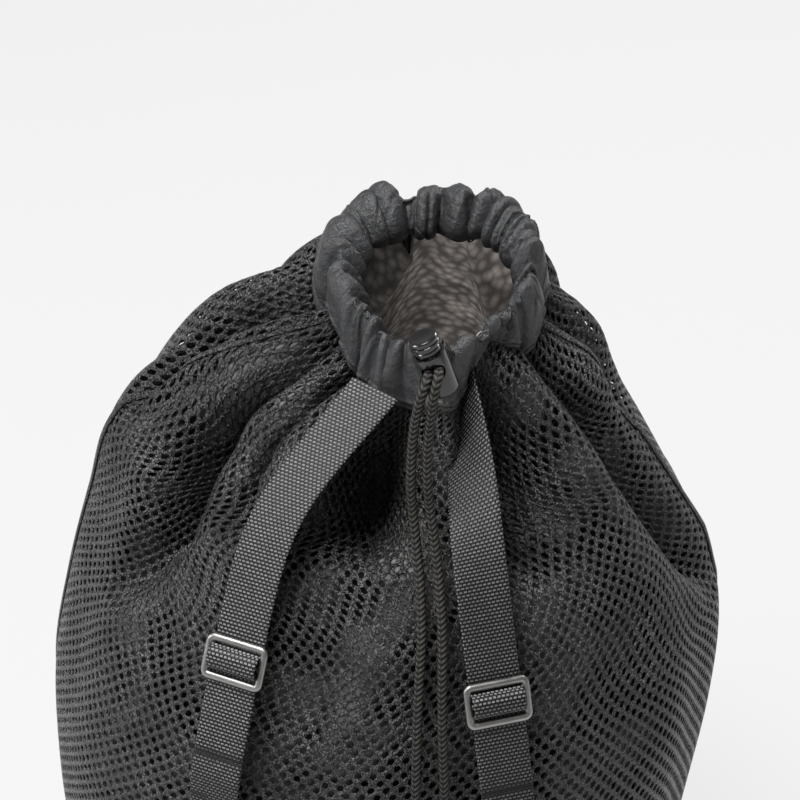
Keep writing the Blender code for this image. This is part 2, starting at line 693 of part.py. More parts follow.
def strap_x(side, height):
    """The strap's place across the bag at a height."""
    route = STRAPS[side]["route"][::-1]
    heights = [share * BODY_HEIGHT for _, share in route]
    places = [share * BODY_WIDTH for share, _ in route]
    return smooth_value(height, heights, places)


def glide(side):
    """Where the adjuster sits, and the straight line that it slides along, downward."""
    share_x, share_z = STRAPS[side]["adjuster"]
    x, z = share_x * BODY_WIDTH, share_z * BODY_HEIGHT
    normal = front_normal(x, z)
    across = Vector((math.cos(STRAPS[side]["lean"]), 0.0, math.sin(STRAPS[side]["lean"])))
    down = across.cross(normal).normalized()
    if down.z > 0:
        down = -down
    across = normal.cross(down).normalized()
    if across.x < 0:
        across = -across
    return front_point(x, z) + normal * strap_offset(), down, across, normal


def strap_offset():
    return STRAP_STAND_OFF + MESH_THICKNESS / 2 + 1.5 * WEBBING_THICKNESS + GAP


def hermite(a, a_way, b, b_way, count):
    """A smooth curve from a to b that leaves and arrives along the two ways."""
    reach = (b - a).length
    points = []
    for i in range(1, count):
        t = i / count
        points.append(a * (2 * t ** 3 - 3 * t ** 2 + 1) + a_way * (reach * (t ** 3 - 2 * t ** 2 + t))
                      + b * (3 * t ** 2 - 2 * t ** 3) + b_way * (reach * (t ** 3 - t ** 2)))
    return points


def on_body(side, height):
    """The strap's middle where it lies on the mesh."""
    x = strap_x(side, height)
    twist = twist_at(side, height)
    lift = strap_offset() + abs(math.sin(twist)) * WEBBING_WIDTH / 2
    return front_point(x, height) + front_normal(x, height) * lift


def body_way(side, height):
    step = 0.003
    return (on_body(side, height - step) - on_body(side, height + step)).normalized()


def twist_at(side, height):
    top = STRAPS[side]["route"][0][1] * BODY_HEIGHT
    share = max(0.0, min(1.0, (height - top + TWIST_HEIGHT) / TWIST_HEIGHT))
    return STRAPS[side]["twist"] * share * share * (3 - 2 * share)


def strap_path(side):
    """The strap's middle line, from the collar to its lower ring."""
    centre, down, _, _ = glide(side)
    top_end = centre - down * GLIDE_REACH
    low_end = centre + down * GLIDE_REACH
    high_land = top_end.z + GLIDE_RISE
    low_land = low_end.z - GLIDE_RETURN
    top = STRAPS[side]["route"][0][1] * BODY_HEIGHT - COLLAR_TAPE_WIDTH / 2
    path = []
    upper_steps, straight_steps, lower_steps = STRAP_STEPS
    for i in range(upper_steps + 1):
        path.append(on_body(side, top + (high_land - top) * i / upper_steps))
    path += hermite(path[-1], body_way(side, high_land), top_end, down, BLEND_STEPS)
    for i in range(straight_steps + 1):
        path.append(top_end + (low_end - top_end) * (i / straight_steps))
    landing = on_body(side, low_land)
    path += hermite(low_end, down, landing, body_way(side, low_land), BLEND_STEPS)
    bottom = RING_Z + RING_HEIGHT / 2 + RING_WIRE
    for i in range(lower_steps + 1):
        path.append(on_body(side, low_land + (bottom - low_land) * i / lower_steps))
    return path


def glide_share(side, height):
    """1 along the adjuster's straight stretch, falling smoothly to 0 beyond its ends."""
    centre, down, _, _ = glide(side)
    beyond = abs(height - centre.z) - abs(down.z) * GLIDE_REACH
    share = max(0.0, min(1.0, 1 - beyond / GLIDE_RETURN))
    return share * share * (3 - 2 * share)


def strap_widths(side, path):
    """Sideways directions: flat on the bag, turned by the strap's twist near the collar."""
    widths = []
    last = len(path) - 1
    across = glide(side)[2]
    for i, point in enumerate(path):
        way = (path[min(i + 1, last)] - path[max(i - 1, 0)]).normalized()
        normal = front_normal(strap_x(side, point.z), point.z)
        flat = normal.cross(way).normalized()
        if flat.x < 0:
            flat = -flat
        turned_width = Matrix.Rotation(twist_at(side, point.z), 3, way) @ flat
        widths.append(turned_width.lerp(across, glide_share(side, point.z)).normalized())
    return widths


def layer(path, widths, offset):
    """The same path moved along its own face, away from the bag when offset is positive."""
    moved = []
    last = len(path) - 1
    for i, point in enumerate(path):
        way = (path[min(i + 1, last)] - path[max(i - 1, 0)]).normalized()
        face = widths[i].cross(way).normalized()
        if face.y > 0:
            face = -face
        moved.append(point + face * offset)
    return moved


def strap_pieces(side):
    """Front layer from collar to ring, and the return layer that comes back up behind."""
    path = strap_path(side)
    widths = strap_widths(side, path)
    webbing("strap_front_" + side, path, widths)
    centre, down, _, _ = glide(side)
    start = centre + down * RETURN_INSET
    first = next(i for i, point in enumerate(path) if point.z < start.z)
    behind = layer(path, widths, -(WEBBING_THICKNESS + GAP))
    webbing("strap_return_" + side, behind[first:], widths[first:])
    return path, widths


def strap_tack(side, path, widths):
    """Stitched block that holds the strap's top end to the collar seam."""
    ahead = layer(path, widths, (WEBBING_THICKNESS + TACK_THICKNESS) / 2 + TACK_CLEARANCE)
    webbing("strap_tack_" + side, ahead[:TACK_STEPS], widths[:TACK_STEPS], TACK_THICKNESS,
            WEBBING_WIDTH - TACK_INSET)


def frame_matrix(centre, across, up, normal):
    matrix = Matrix((across, up, normal)).transposed().to_4x4()
    matrix.translation = centre
    return matrix


def adjuster(side):
    """Metal slide with two windows, and the webbing that arches over its middle bar."""
    centre, down, across, normal = glide(side)
    lift = WEBBING_THICKNESS / 2 + GAP + ADJUSTER_THICKNESS / 2
    frame = add_empty("adjuster_frame_" + side, (0, 0, 0))
    frame.matrix_world = frame_matrix(centre + normal * lift, across, -down, normal)
    window = (ADJUSTER_HEIGHT - 2 * ADJUSTER_END_BAR - ADJUSTER_MIDDLE_BAR) / 2
    inner = ADJUSTER_WIDTH - 2 * ADJUSTER_SIDE_BAR
    shift = (window + ADJUSTER_MIDDLE_BAR) / 2
    loops = [rounded_rectangle(ADJUSTER_WIDTH, ADJUSTER_HEIGHT, ADJUSTER_CORNER)]
    for place in (shift, -shift):
        loops.append(rounded_rectangle(inner, window, WINDOW_CORNER, place, 2))
    flat_outline("adjuster_slide_" + side, "nickel", loops, ADJUSTER_THICKNESS,
                 ADJUSTER_EDGE, frame)
    arch_height = ADJUSTER_THICKNESS + WEBBING_THICKNESS + 2 * GAP
    path = []
    for i in range(ARCH_STEPS + 1):
        share = 2 * i / ARCH_STEPS - 1
        rise = (1 - share ** 4) * arch_height
        place = centre + down * (share * ARCH_LENGTH / 2)
        path.append(place + normal * (WEBBING_THICKNESS + GAP + rise))
    webbing("strap_arch_" + side, path, [across] * len(path))
    return frame


def ring_place(path, widths):
    """Middle of the lower ring, and its directions down, across and away from the bag."""
    down = (path[-1] - path[-2]).normalized()
    across = widths[-1]
    normal = across.cross(-down).normalized()
    if normal.y > 0:
        normal = -normal
    upper_bar = path[-1] + down * (TURN_LEG + 2 * GAP)
    return upper_bar + down * (RING_HEIGHT - RING_WIRE) / 2, down, across, normal


def lower_ring(side, ring):
    """Rectangular wire ring that the strap turns back through."""
    centre, down, across, normal = ring
    frame = add_empty("ring_frame_" + side, (0, 0, 0))
    frame.matrix_world = frame_matrix(centre, across, -down, normal)
    loop = rounded_rectangle(RING_WIDTH - RING_WIRE, RING_HEIGHT - RING_WIRE, RING_CORNER)
    points = [Vector((x, y, 0.0)) for x, y in loop]
    tube("strap_ring_" + side, "nickel", points, RING_WIRE / 2, 2, cyclic=True, parent=frame)


def webbing_turn(name, bar, way, across, normal, leg, width):
    """Webbing that wraps round a bar; both its legs leave along way."""
    wrap = RING_WIRE / 2 + GAP + WEBBING_THICKNESS / 2
    steps = 8
    path = []
    for step in range(steps + 1):
        turn = math.pi * step / steps
        path.append(bar + normal * (wrap * math.cos(turn)) - way * (wrap * math.sin(turn)))
    path = [path[0] + way * leg] + path + [path[-1] + way * leg]
    return webbing(name, path, [across] * len(path), width=width)


def ring_webbing(side, ring):
    """The strap's turn round the ring's upper bar, and the tab that holds its lower bar."""
    centre, down, across, normal = ring
    reach = (RING_HEIGHT - RING_WIRE) / 2
    webbing_turn("strap_turn_" + side, centre - down * reach, -down, across, normal,
                 TURN_LEG, WEBBING_WIDTH)
    webbing_turn("ring_tab_" + side, centre + down * reach, down, across, normal,
                 TAB_LENGTH, TAB_WIDTH)


# ------------------------------------------------------------------ the whole bag
def build():
    clear_scene()
    make_collection(BAG_COLLECTION)
    make_collection(CUTTER_COLLECTION)
    body_panel("body_front", at_back=False)
    body_panel("body_back", at_back=True)
    side_seam("side_seam_left", on_right=False)
    side_seam("side_seam_right", on_right=True)
    base_panel()
    base_tape()
    collar_tunnel()
    collar_tape()
    drawcord_loop()
    for side in ("left", "right"):
        drawcord_tail(side)
        cord_knot(side)
    lock = add_empty("cord_lock_frame", lock_place(), (0.0, -LOCK_LEAN, 0.0))
    lock_barrel(lock)
    lock_plunger(lock)
    lock_spring(lock)
    for side in STRAPS:
        path, widths = strap_pieces(side)
        strap_tack(side, path, widths)
        adjuster(side)
        ring = ring_place(path, widths)
        lower_ring(side, ring)
        ring_webbing(side, ring)
    bpy.context.view_layer.update()


build()
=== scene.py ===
"""Studio look of the mesh ball bag, built around its CAD frame.

Metres, +Z up, the straps face -Y. The surface of the bag is the CAD body's own
formula, folded inward as the gathered fabric folds, and the mesh is laid on it hole by
hole. Angles round the bag: 0 is the right side, -90 degrees the front.
"""
import json
import math

import bmesh
import bpy
import numpy as np
from mathutils import Matrix, Vector

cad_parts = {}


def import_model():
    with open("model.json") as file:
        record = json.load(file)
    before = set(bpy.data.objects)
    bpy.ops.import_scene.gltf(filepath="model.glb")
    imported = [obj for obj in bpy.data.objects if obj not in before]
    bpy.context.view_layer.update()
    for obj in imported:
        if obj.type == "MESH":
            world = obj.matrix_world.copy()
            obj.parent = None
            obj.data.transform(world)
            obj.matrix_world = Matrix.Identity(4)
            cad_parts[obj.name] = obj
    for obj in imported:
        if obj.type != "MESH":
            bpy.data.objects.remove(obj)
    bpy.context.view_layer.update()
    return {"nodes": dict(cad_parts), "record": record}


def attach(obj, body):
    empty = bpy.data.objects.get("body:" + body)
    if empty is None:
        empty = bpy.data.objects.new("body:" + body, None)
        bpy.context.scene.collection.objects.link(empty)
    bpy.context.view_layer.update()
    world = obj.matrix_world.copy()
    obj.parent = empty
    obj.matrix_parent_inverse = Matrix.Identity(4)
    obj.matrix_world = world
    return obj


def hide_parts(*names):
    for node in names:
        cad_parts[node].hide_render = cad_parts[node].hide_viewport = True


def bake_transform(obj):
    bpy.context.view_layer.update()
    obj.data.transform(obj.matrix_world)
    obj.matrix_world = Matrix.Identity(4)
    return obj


# ------------------------------------------------------------------ sizes, as in the CAD
BODY_HEIGHT = 0.422
BODY_WIDTH = 0.350
BODY_DEPTH = 0.330
MESH_THICKNESS = 0.0014
GAP = 0.0003
MOUTH_SEAM_RADIUS = 0.058
MOUTH_SHIFT_X = 0.024
MOUTH_SHIFT_Y = -0.012
MOUTH_TILT = math.radians(18)
COLLAR_HEIGHT = 0.034
BASE_THICKNESS = 0.003
CORD_DIAMETER = 0.0046
CORD_SIDE_GAP = 0.0004
LOCK_LEAN = math.radians(20)
WEBBING_WIDTH = 0.025
WEBBING_THICKNESS = 0.0014
STRAP_STAND_OFF = 0.0012
GLIDE_REACH = 0.052
GLIDE_RETURN = 0.045
RETURN_INSET = 0.006
ADJUSTER_WIDTH = WEBBING_WIDTH + 2 * (0.0005 + 0.0030)
ADJUSTER_HEIGHT = 0.0220
ADJUSTER_THICKNESS = 0.0026
ARCH_LENGTH = 0.0115
RING_HEIGHT = 0.0150
RING_WIRE = 0.0030
RING_Z = 0.050
COLLAR_TAPE_WIDTH = 0.008
GLIDE_RISE = 0.027
ADJUSTER_BAR = 0.0037
ADJUSTER_MIDDLE_BAR = 0.0026
ADJUSTER_CORNER = 0.0042
RING_WIDTH = WEBBING_WIDTH + 2 * (0.0015 + RING_WIRE)
RING_CORNER = 0.0024
TURN_LEG = 0.0055
TAB_WIDTH = 0.024
TAB_LENGTH = 0.026
KNOT_LENGTH = 0.0120
LEAD_FOLLOWS = 0.012         # behind the lock's hole, the drawcord stays in the collar
DRAWCORD_LEAD = math.radians(14)     # where its ends go into the collar
DRAWCORD_HIDDEN = math.radians(34)   # and how far they are followed inside it
KNOT_TIP_LENGTH = 0.010
SEAM_TAPE_SHOWN = 0.0042     # the CAD tape less what the folded mesh hides
WELT_RADIUS = 0.0022
WELT_STEPS = 240
WELT_SIDES = 12
LOCK_BARREL_DIAMETER = 0.0154
LOCK_BARREL_LENGTH = 0.0220
LOCK_WALL = 0.0013
LOCK_FLOOR = 0.0016
LOCK_HOLE_WIDTH = 0.0108
LOCK_HOLE_HEIGHT = 0.0085
LOCK_HOLE_CORNER = 0.0040
LOCK_HOLE_BELOW_TOP = 0.0074
LOCK_ROUND_OFF = 0.0022
LOCK_OUTWARD = 0.0054
LOCK_ABOVE_SEAM = 0.0329
PLUNGER_TRAVEL = 0.0040
PLUNGER_CLEARANCE = 0.00035
PLUNGER_SLOT_SPARE = 0.0008
PLUNGER_BELOW_HOLE = 0.0016
PLUNGER_HEAD_DIAMETER = 0.0140
PLUNGER_HEAD_HEIGHT = 0.0046
PLUNGER_NECK_DIAMETER = 0.0112
PLUNGER_NECK_HEIGHT = 0.0014

# height, left, right, front, back, drift, squareness, tilt (as shares)
BODY_LEVELS = (
    (0.0125, 0.352, 0.336, 0.344, 0.340, 0.00, 2.40, 0.0),
    (0.047, 0.418, 0.394, 0.404, 0.396, 0.00, 2.40, 0.0),
    (0.154, 0.469, 0.438, 0.456, 0.446, 0.00, 2.30, 0.0),
    (0.308, 0.503, 0.469, 0.497, 0.473, 0.00, 2.20, 0.0),
    (0.474, 0.500, 0.494, 0.503, 0.479, 0.00, 2.20, 0.0),
    (0.616, 0.474, 0.480, 0.473, 0.455, 0.17, 2.10, 0.0),
    (0.746, 0.440, 0.417, 0.400, 0.394, 0.33, 2.00, 0.1),
    (0.853, 0.411, 0.349, 0.309, 0.315, 0.52, 2.00, 0.4),
    (0.936, 0.337, 0.280, 0.236, 0.242, 0.80, 2.00, 0.8),
)
STRAPS = {
    "left": {
        "route": ((-0.022, 0.955), (-0.050, 0.925), (-0.085, 0.880), (-0.122, 0.825),
                  (-0.174, 0.737), (-0.206, 0.630), (-0.222, 0.540), (-0.240, 0.430),
                  (-0.256, 0.310), (-0.264, 0.200), (-0.266, 0.118)),
        "adjuster": (-0.188, 0.716),
        "lean": math.radians(-13),
        "twist": math.radians(0),
    },
    "right": {
        "route": ((0.126, 0.955), (0.112, 0.925), (0.108, 0.880), (0.115, 0.825),
                  (0.133, 0.737), (0.154, 0.630), (0.168, 0.540), (0.184, 0.430),
                  (0.200, 0.310), (0.210, 0.200), (0.212, 0.118)),
        "adjuster": (0.150, 0.690),
        "lean": math.radians(8),
        "twist": math.radians(42),
    },
}
TWIST_HEIGHT = 0.06
TAIL_ROUTES = {
    "left": ((0.02165, -0.0760, 0.4334), (0.0216, -0.0800, 0.4334), (0.0213, -0.0845, 0.4332),
             (0.0202, -0.0878, 0.4314), (0.0184, -0.0900, 0.4272), (0.0166, -0.0912, 0.4200),
             (0.0152, -0.0925, 0.4110), (0.0143, -0.0942, 0.4020), (0.0139, -0.0965, 0.3930),
             (0.0138, -0.0990, 0.3830),
             (0.0144, -0.1002, 0.3730), (0.0156, -0.1042, 0.3625), (0.0168, -0.1105, 0.3522),
             (0.0180, -0.1180, 0.3422), (0.0187, -0.1338, 0.3221), (0.0174, -0.1466, 0.3017),
             (0.0166, -0.1560, 0.2814), (0.0162, -0.1630, 0.2609), (0.0160, -0.1674, 0.2406),
             (0.0158, -0.1702, 0.2190), (0.0156, -0.1712, 0.1960), (0.0154, -0.1715, 0.1730),
             (0.0150, -0.1716, 0.1500), (0.0145, -0.1716, 0.1280)),
    "right": ((0.02635, -0.0760, 0.4352), (0.0263, -0.0800, 0.4352), (0.0261, -0.0845, 0.4350),
              (0.0254, -0.0878, 0.4332), (0.0243, -0.0900, 0.4288), (0.0232, -0.0912, 0.4210),
              (0.0222, -0.0925, 0.4115), (0.0214, -0.0942, 0.4025), (0.0212, -0.0965, 0.3932),
              (0.0214, -0.0990, 0.3830),
              (0.0224, -0.1002, 0.3730), (0.0240, -0.1042, 0.3625), (0.0255, -0.1102, 0.3522),
              (0.0268, -0.1176, 0.3422), (0.0282, -0.1333, 0.3221), (0.0282, -0.1458, 0.3017),
              (0.0284, -0.1551, 0.2814), (0.0292, -0.1620, 0.2609), (0.0298, -0.1664, 0.2406),
              (0.0302, -0.1694, 0.2190), (0.0305, -0.1706, 0.1960), (0.0308, -0.1710, 0.1730),
              (0.0312, -0.1711, 0.1500), (0.0318, -0.1711, 0.1200)),
}

# ------------------------------------------------------------------ looks
HOLE_STEP = 0.0039           # half the distance between holes in a row
LATTICE_COLUMNS = 280        # even, round the whole bag
LATTICE_TURN = math.tan(math.radians(7))   # the knit runs a little askew
HOLE_SIDES = 8
HOLE_RADIUS = 0.44           # share of HOLE_STEP, before the fabric stretches
FINE = 4                     # surface samples for each lattice step

# Folds that the gathered mouth pulls into the mesh. Each is a list of
# (height share, angle in degrees, half width, depth), from the mouth down.
FOLDS = {
    "left_shoulder": ((1.00, 167, 0.0051, 0.0240), (0.975, 164, 0.0076, 0.0312),
                      (0.945, 170, 0.0093, 0.0288), (0.91, 178, 0.0102, 0.0144),
                      (0.87, 184, 0.0119, 0.0000)),
    "left_front": ((1.00, -164, 0.0051, 0.0075), (0.965, -157, 0.0085, 0.0275),
                   (0.92, -147, 0.0110, 0.0425), (0.83, -142, 0.0119, 0.0400),
                   (0.76, -147, 0.0127, 0.0200), (0.69, -153, 0.0136, 0.0000)),
    "left_crease": ((1.00, -141, 0.0040, 0.0078), (0.95, -132, 0.0035, 0.0104),
                    (0.90, -126, 0.0035, 0.0078), (0.84, -124, 0.0050, 0.0000)),
    "front_hollow": ((1.00, -107, 0.008, 0.010), (0.97, -105, 0.012, 0.030),
                     (0.92, -101, 0.015, 0.046), (0.875, -98, 0.016, 0.034),
                     (0.85, -96, 0.017, 0.010), (0.835, -95, 0.018, 0.000)),
    "right_hollow": ((1.00, -66, 0.007, 0.010), (0.975, -64, 0.011, 0.028),
                     (0.93, -61, 0.016, 0.046), (0.87, -59, 0.019, 0.036),
                     (0.83, -57, 0.021, 0.012), (0.80, -56, 0.022, 0.000)),
    "right_valley": ((1.00, -21, 0.0054, 0.0144), (0.95, -24, 0.0090, 0.0360),
                     (0.88, -22, 0.0108, 0.0456), (0.80, -18, 0.0117, 0.0432),
                     (0.72, -13, 0.0117, 0.0312), (0.66, -9, 0.0126, 0.0144),
                     (0.61, -6, 0.0135, 0.0000)),
    "right_tuck": ((1.00, 8, 0.005, 0.008), (0.96, 6, 0.008, 0.012),
                   (0.90, 2, 0.010, 0.008), (0.84, 0, 0.012, 0.000)),
    "right_slack": ((0.96, 4, 0.060, 0.000), (0.90, 2, 0.060, 0.010),
                    (0.80, 0, 0.060, 0.008), (0.68, 0, 0.060, 0.000)),
    "back_right": ((1.00, 38, 0.006, 0.006), (0.95, 36, 0.010, 0.022),
                   (0.85, 31, 0.014, 0.022), (0.70, 27, 0.018, 0.000)),
    "back_tuck": ((1.00, 66, 0.006, 0.010), (0.95, 64, 0.010, 0.026),
                  (0.86, 61, 0.014, 0.024), (0.74, 60, 0.018, 0.000)),
    "back_notch": ((1.00, 104, 0.005, 0.014), (0.95, 102, 0.010, 0.030),
                   (0.84, 98, 0.015, 0.028), (0.68, 95, 0.020, 0.000)),
    "back_left": ((1.00, 138, 0.006, 0.004), (0.95, 136, 0.010, 0.022),
                  (0.85, 133, 0.015, 0.022), (0.70, 131, 0.020, 0.000)),
}

# How the gathered seam strays from its circle: (degrees, outward, up).
SEAM_SHIFT = (
    (-170, -0.013, 0.002), (-158, -0.012, 0.002), (-141, -0.010, 0.000), (-120, -0.006, 0.001),
    (-101, -0.004, 0.000), (-84, -0.003, 0.000), (-70, -0.010, 0.002), (-55, -0.019, 0.009),
    (-40, -0.021, 0.012), (-27, -0.011, 0.006), (-16, -0.006, 0.000), (-2, -0.005, 0.000),
    (22, 0.002, 0.000), (38, 0.009, 0.001), (57, 0.010, 0.003), (72, 0.006, 0.003),
    (90, 0.006, 0.004), (104, 0.003, 0.002), (122, 0.011, 0.004), (136, 0.011, 0.002),
    (151, 0.005, 0.000), (163, 0.002, 0.000), (174, -0.009, 0.001),
)
LINING_TOP = 0.999           # height share where the lining meets the collar
LINING_SLACK = 0.0024        # how far it lies inside the mesh, before its own hollows
LINING_HOLLOW = 0.0065
LINING_CLOTH = 0.0004
LINING_RIM = (0.002, 0.004)  # it goes on up inside the collar
SEAM_REACH = 0.12            # share of the height over which the mesh follows the seam


# ------------------------------------------------------------------ curves and surfaces
def cubic(start, start_slope, end, end_slope, t):
    """The cubic that leaves start and reaches end with these slopes, at t from 0 to 1."""
    return (start * (2 * t ** 3 - 3 * t ** 2 + 1) + start_slope * (t ** 3 - 2 * t ** 2 + t)
            + end * (3 * t ** 2 - 2 * t ** 3) + end_slope * (t ** 3 - t ** 2))


def eased_step(t):
    """Goes smoothly from 0 to 1 as t does."""
    return t * t * (3 - 2 * t)


def half_turn_range(angle):
    """The same angle between minus and plus half a turn."""
    return (angle + math.pi) % (2 * math.pi) - math.pi


def running_lengths(points):
    """The length of a line up to each of its points."""
    return np.concatenate([[0], np.cumsum(np.linalg.norm(np.diff(points, axis=0), axis=1))])


def read_along(places, lengths, values):
    """Rows of values, read at places along a line."""
    return np.stack([np.interp(places, lengths, column) for column in values.T], -1)


def smooth_curve(x, xs, ys):
    """A smooth curve through (xs, ys), read at every x."""
    xs = np.asarray(xs, float)
    ys = np.asarray(ys, float)
    last = len(xs) - 1
    before = np.maximum(np.arange(len(xs)) - 1, 0)
    after = np.minimum(np.arange(len(xs)) + 1, last)
    slopes = (ys[after] - ys[before]) / (xs[after] - xs[before])
    i = np.clip(np.searchsorted(xs, x) - 1, 0, last - 1)
    span = xs[i + 1] - xs[i]
    t = (x - xs[i]) / span
    return cubic(ys[i], span * slopes[i], ys[i + 1], span * slopes[i + 1], t)


def body_rows():
    rows = []
    for height, left, right, front, back, drift, squareness, tilt in BODY_LEVELS:
        rows.append((height * BODY_HEIGHT, left * BODY_WIDTH, right * BODY_WIDTH,
                     front * BODY_DEPTH, back * BODY_DEPTH, drift, squareness, tilt))
    radius = MOUTH_SEAM_RADIUS
    rows.append((BODY_HEIGHT, radius, radius, radius, radius, 1.0, 2.0, 1.0))
    return rows


COLUMNS = [np.array(column) for column in zip(*body_rows())]
BODY_FOOT = COLUMNS[0][0]


def level_at(height):
    return [smooth_curve(height, COLUMNS[0], column) for column in COLUMNS[1:]]


def body_points(angle, height):
    """Points of the smooth CAD body, for arrays of angles and heights."""
    left, right, front, back, drift, squareness, tilt = level_at(height)
    across, along = np.cos(angle), np.sin(angle)
    power = 2 / squareness
    x = np.copysign(np.abs(across) ** power, across) * np.where(across > 0, right, left)
    y = np.copysign(np.abs(along) ** power, along) * np.where(along > 0, back, front)
    lift = tilt * math.tan(MOUTH_TILT) * y
    return np.stack([drift * MOUTH_SHIFT_X + x, drift * MOUTH_SHIFT_Y + y, height + lift], -1)


def unit(vectors):
    return vectors / np.maximum(np.linalg.norm(vectors, axis=-1, keepdims=True), 1e-12)


def surface_normals(points, closed=True):
    """Outward normals of a surface sampled as [around, upward]."""
    if closed:
        around = np.roll(points, -1, axis=0) - np.roll(points, 1, axis=0)
    else:
        around = np.gradient(points, axis=0)
    upward = np.gradient(points, axis=1)
    return unit(np.cross(around, upward))


def round_the_mouth(angle, rows, column):
    """A smooth closed curve through rows of (degrees, value, ...), read at every angle."""
    degrees = [row[0] for row in rows]
    values = [row[column] for row in rows]
    degrees = [degrees[-1] - 360] + degrees + [degrees[0] + 360]
    values = [values[-1]] + values + [values[0]]
    around = (np.degrees(angle) + 180) % 360 - 180
    return smooth_curve(around, degrees, values)


def bump(distance, width):
    """1 at distance 0, falling smoothly to nothing at about two widths."""
    return np.exp(-np.abs(distance / width) ** 1.7)


def ripples(angle, height, seed, count, waves, rows):
    """Soft random ripples: a sum of sine waves with seeded directions and phases."""
    chance = np.random.default_rng(seed)
    total = np.zeros_like(angle)
    for _ in range(count):
        turns = chance.integers(waves[0], waves[1])
        climb = chance.uniform(-rows, rows)
        total += np.sin(turns * angle + climb * height / BODY_HEIGHT + chance.uniform(0, 6.28))
    return total / math.sqrt(count)


def fold_depth(angle, height):
    """How far the fabric lies inside the smooth body."""
    share = height / BODY_HEIGHT
    left, right, front, back = level_at(height)[:4]
    radius = np.hypot(np.cos(angle) * np.where(np.cos(angle) > 0, right, left),
                      np.sin(angle) * np.where(np.sin(angle) > 0, back, front))
    depth = np.zeros_like(angle)
    for fold in FOLDS.values():
        low_up = fold[::-1]
        heights = [row[0] for row in low_up]
        centre = np.radians(smooth_curve(share, heights, [row[1] for row in low_up]))
        width = smooth_curve(share, heights, [row[2] for row in low_up])
        deep = np.where(share < heights[0], 0.0,
                        smooth_curve(share, heights, [row[3] for row in low_up]))
        aside = half_turn_range(angle - centre)
        depth += np.maximum(deep, 0.0) * bump(aside * radius, width)
    near_mouth = np.clip((share - 0.80) / 0.20, 0, 1) ** 2
    pleats = ripples(angle, height, 5, 6, (22, 38), 3.0)
    depth += near_mouth * 0.0026 * (1.2 - pleats)
    soft = np.clip((share - 0.10) / 0.3, 0, 1)
    depth += soft * 0.0016 * (1.3 - ripples(angle, height, 9, 8, (5, 14), 9.0))
    return depth


def folded(angle, height, slack=0.0, closed=True):
    """Points of the folded fabric, slack inside it."""
    points = body_points(angle, height)
    normals = surface_normals(points, closed=closed)
    points = points - normals * (fold_depth(angle, height) + slack)[..., None]
    near = np.clip((height / BODY_HEIGHT - 1 + SEAM_REACH) / SEAM_REACH, 0, 1)
    near = eased_step(near)
    outward = round_the_mouth(angle, SEAM_SHIFT, 1) * near
    points[..., 0] += np.cos(angle) * outward
    points[..., 1] += np.sin(angle) * outward
    points[..., 2] += (round_the_mouth(angle, SEAM_SHIFT, 2) * near
                       + math.tan(MOUTH_TILT) * np.sin(angle) * outward)
    return points


# ------------------------------------------------------------------ the fabric surface
class Fabric:
    """The folded surface, sampled evenly along its rows so that holes keep their size."""

    def __init__(self):
        coarse = np.linspace(BODY_FOOT, BODY_HEIGHT, 400)
        turns = np.linspace(0, 2 * math.pi, 1440, endpoint=False) + math.pi / 2
        angle, height = np.meshgrid(turns, coarse, indexing="ij")
        climbs = np.linalg.norm(np.diff(body_points(angle, height), axis=1), axis=-1).mean(axis=0)
        length = np.concatenate([[0], np.cumsum(climbs)])
        self.rows = int(round(length[-1] / HOLE_STEP / 2)) * 2
        wanted = np.linspace(0, length[-1], self.rows * FINE + 1)
        heights = np.interp(wanted, length, coarse)
        angle, height = np.meshgrid(turns, heights, indexing="ij")
        points = folded(angle, height)
        self.row_angles = np.empty((LATTICE_COLUMNS * FINE, len(heights)))
        self.points = np.empty((LATTICE_COLUMNS * FINE, len(heights), 3))
        for row in range(len(heights)):
            line = np.vstack([points[:, row], points[:1, row]])
            along = running_lengths(line)
            places = np.linspace(0, along[-1], LATTICE_COLUMNS * FINE, endpoint=False)
            self.points[:, row] = read_along(places, along, line)
            self.row_angles[:, row] = np.interp(places, along,
                                                np.append(turns, turns[0] + 2 * math.pi))
        self.normals = surface_normals(self.points)

    def read(self, column, row, inset=0.0):
        """Points at lattice columns and rows, moved inward by inset."""
        u = (column * FINE) % (LATTICE_COLUMNS * FINE)
        v = np.clip(row * FINE, 0, self.rows * FINE - 1e-6)
        i, j = np.floor(u).astype(int), np.floor(v).astype(int)
        s, t = (u - i)[..., None], (v - j)[..., None]
        i = i % (LATTICE_COLUMNS * FINE)
        k = (i + 1) % (LATTICE_COLUMNS * FINE)
        found = []
        for data in (self.points, self.normals):
            low = data[i, j] * (1 - s) + data[k, j] * s
            high = data[i, j + 1] * (1 - s) + data[k, j + 1] * s
            found.append(low * (1 - t) + high * t)
        return found[0] - unit(found[1]) * np.asarray(inset)[..., None]

    def column_at(self, angle, row):
        """The lattice column that lies at an angle, on a row."""
        line = self.row_angles[:, min(int(row * FINE), self.rows * FINE)]
        turn = (angle - line[0]) % (2 * math.pi) + line[0]
        return np.interp(turn, line, np.arange(len(line))) / FINE


# ------------------------------------------------------------------ mesh helpers
def add_quads(name, points, quads, material):
    """A mesh from arrays of points and quads."""
    data = bpy.data.meshes.new(name)
    data.vertices.add(len(points))
    data.vertices.foreach_set("co", np.ascontiguousarray(points, np.float32).ravel())
    data.loops.add(quads.size)
    data.loops.foreach_set("vertex_index", np.ascontiguousarray(quads, np.int32).ravel())
    data.polygons.add(len(quads))
    data.polygons.foreach_set("loop_start", np.arange(0, quads.size, 4, dtype=np.int32))
    data.update(calc_edges=True)
    data.validate()
    return add_data(name, data, material, True)


def add_object(name, data):
    made = bpy.data.objects.new(name, data)
    bpy.context.scene.collection.objects.link(made)
    return made


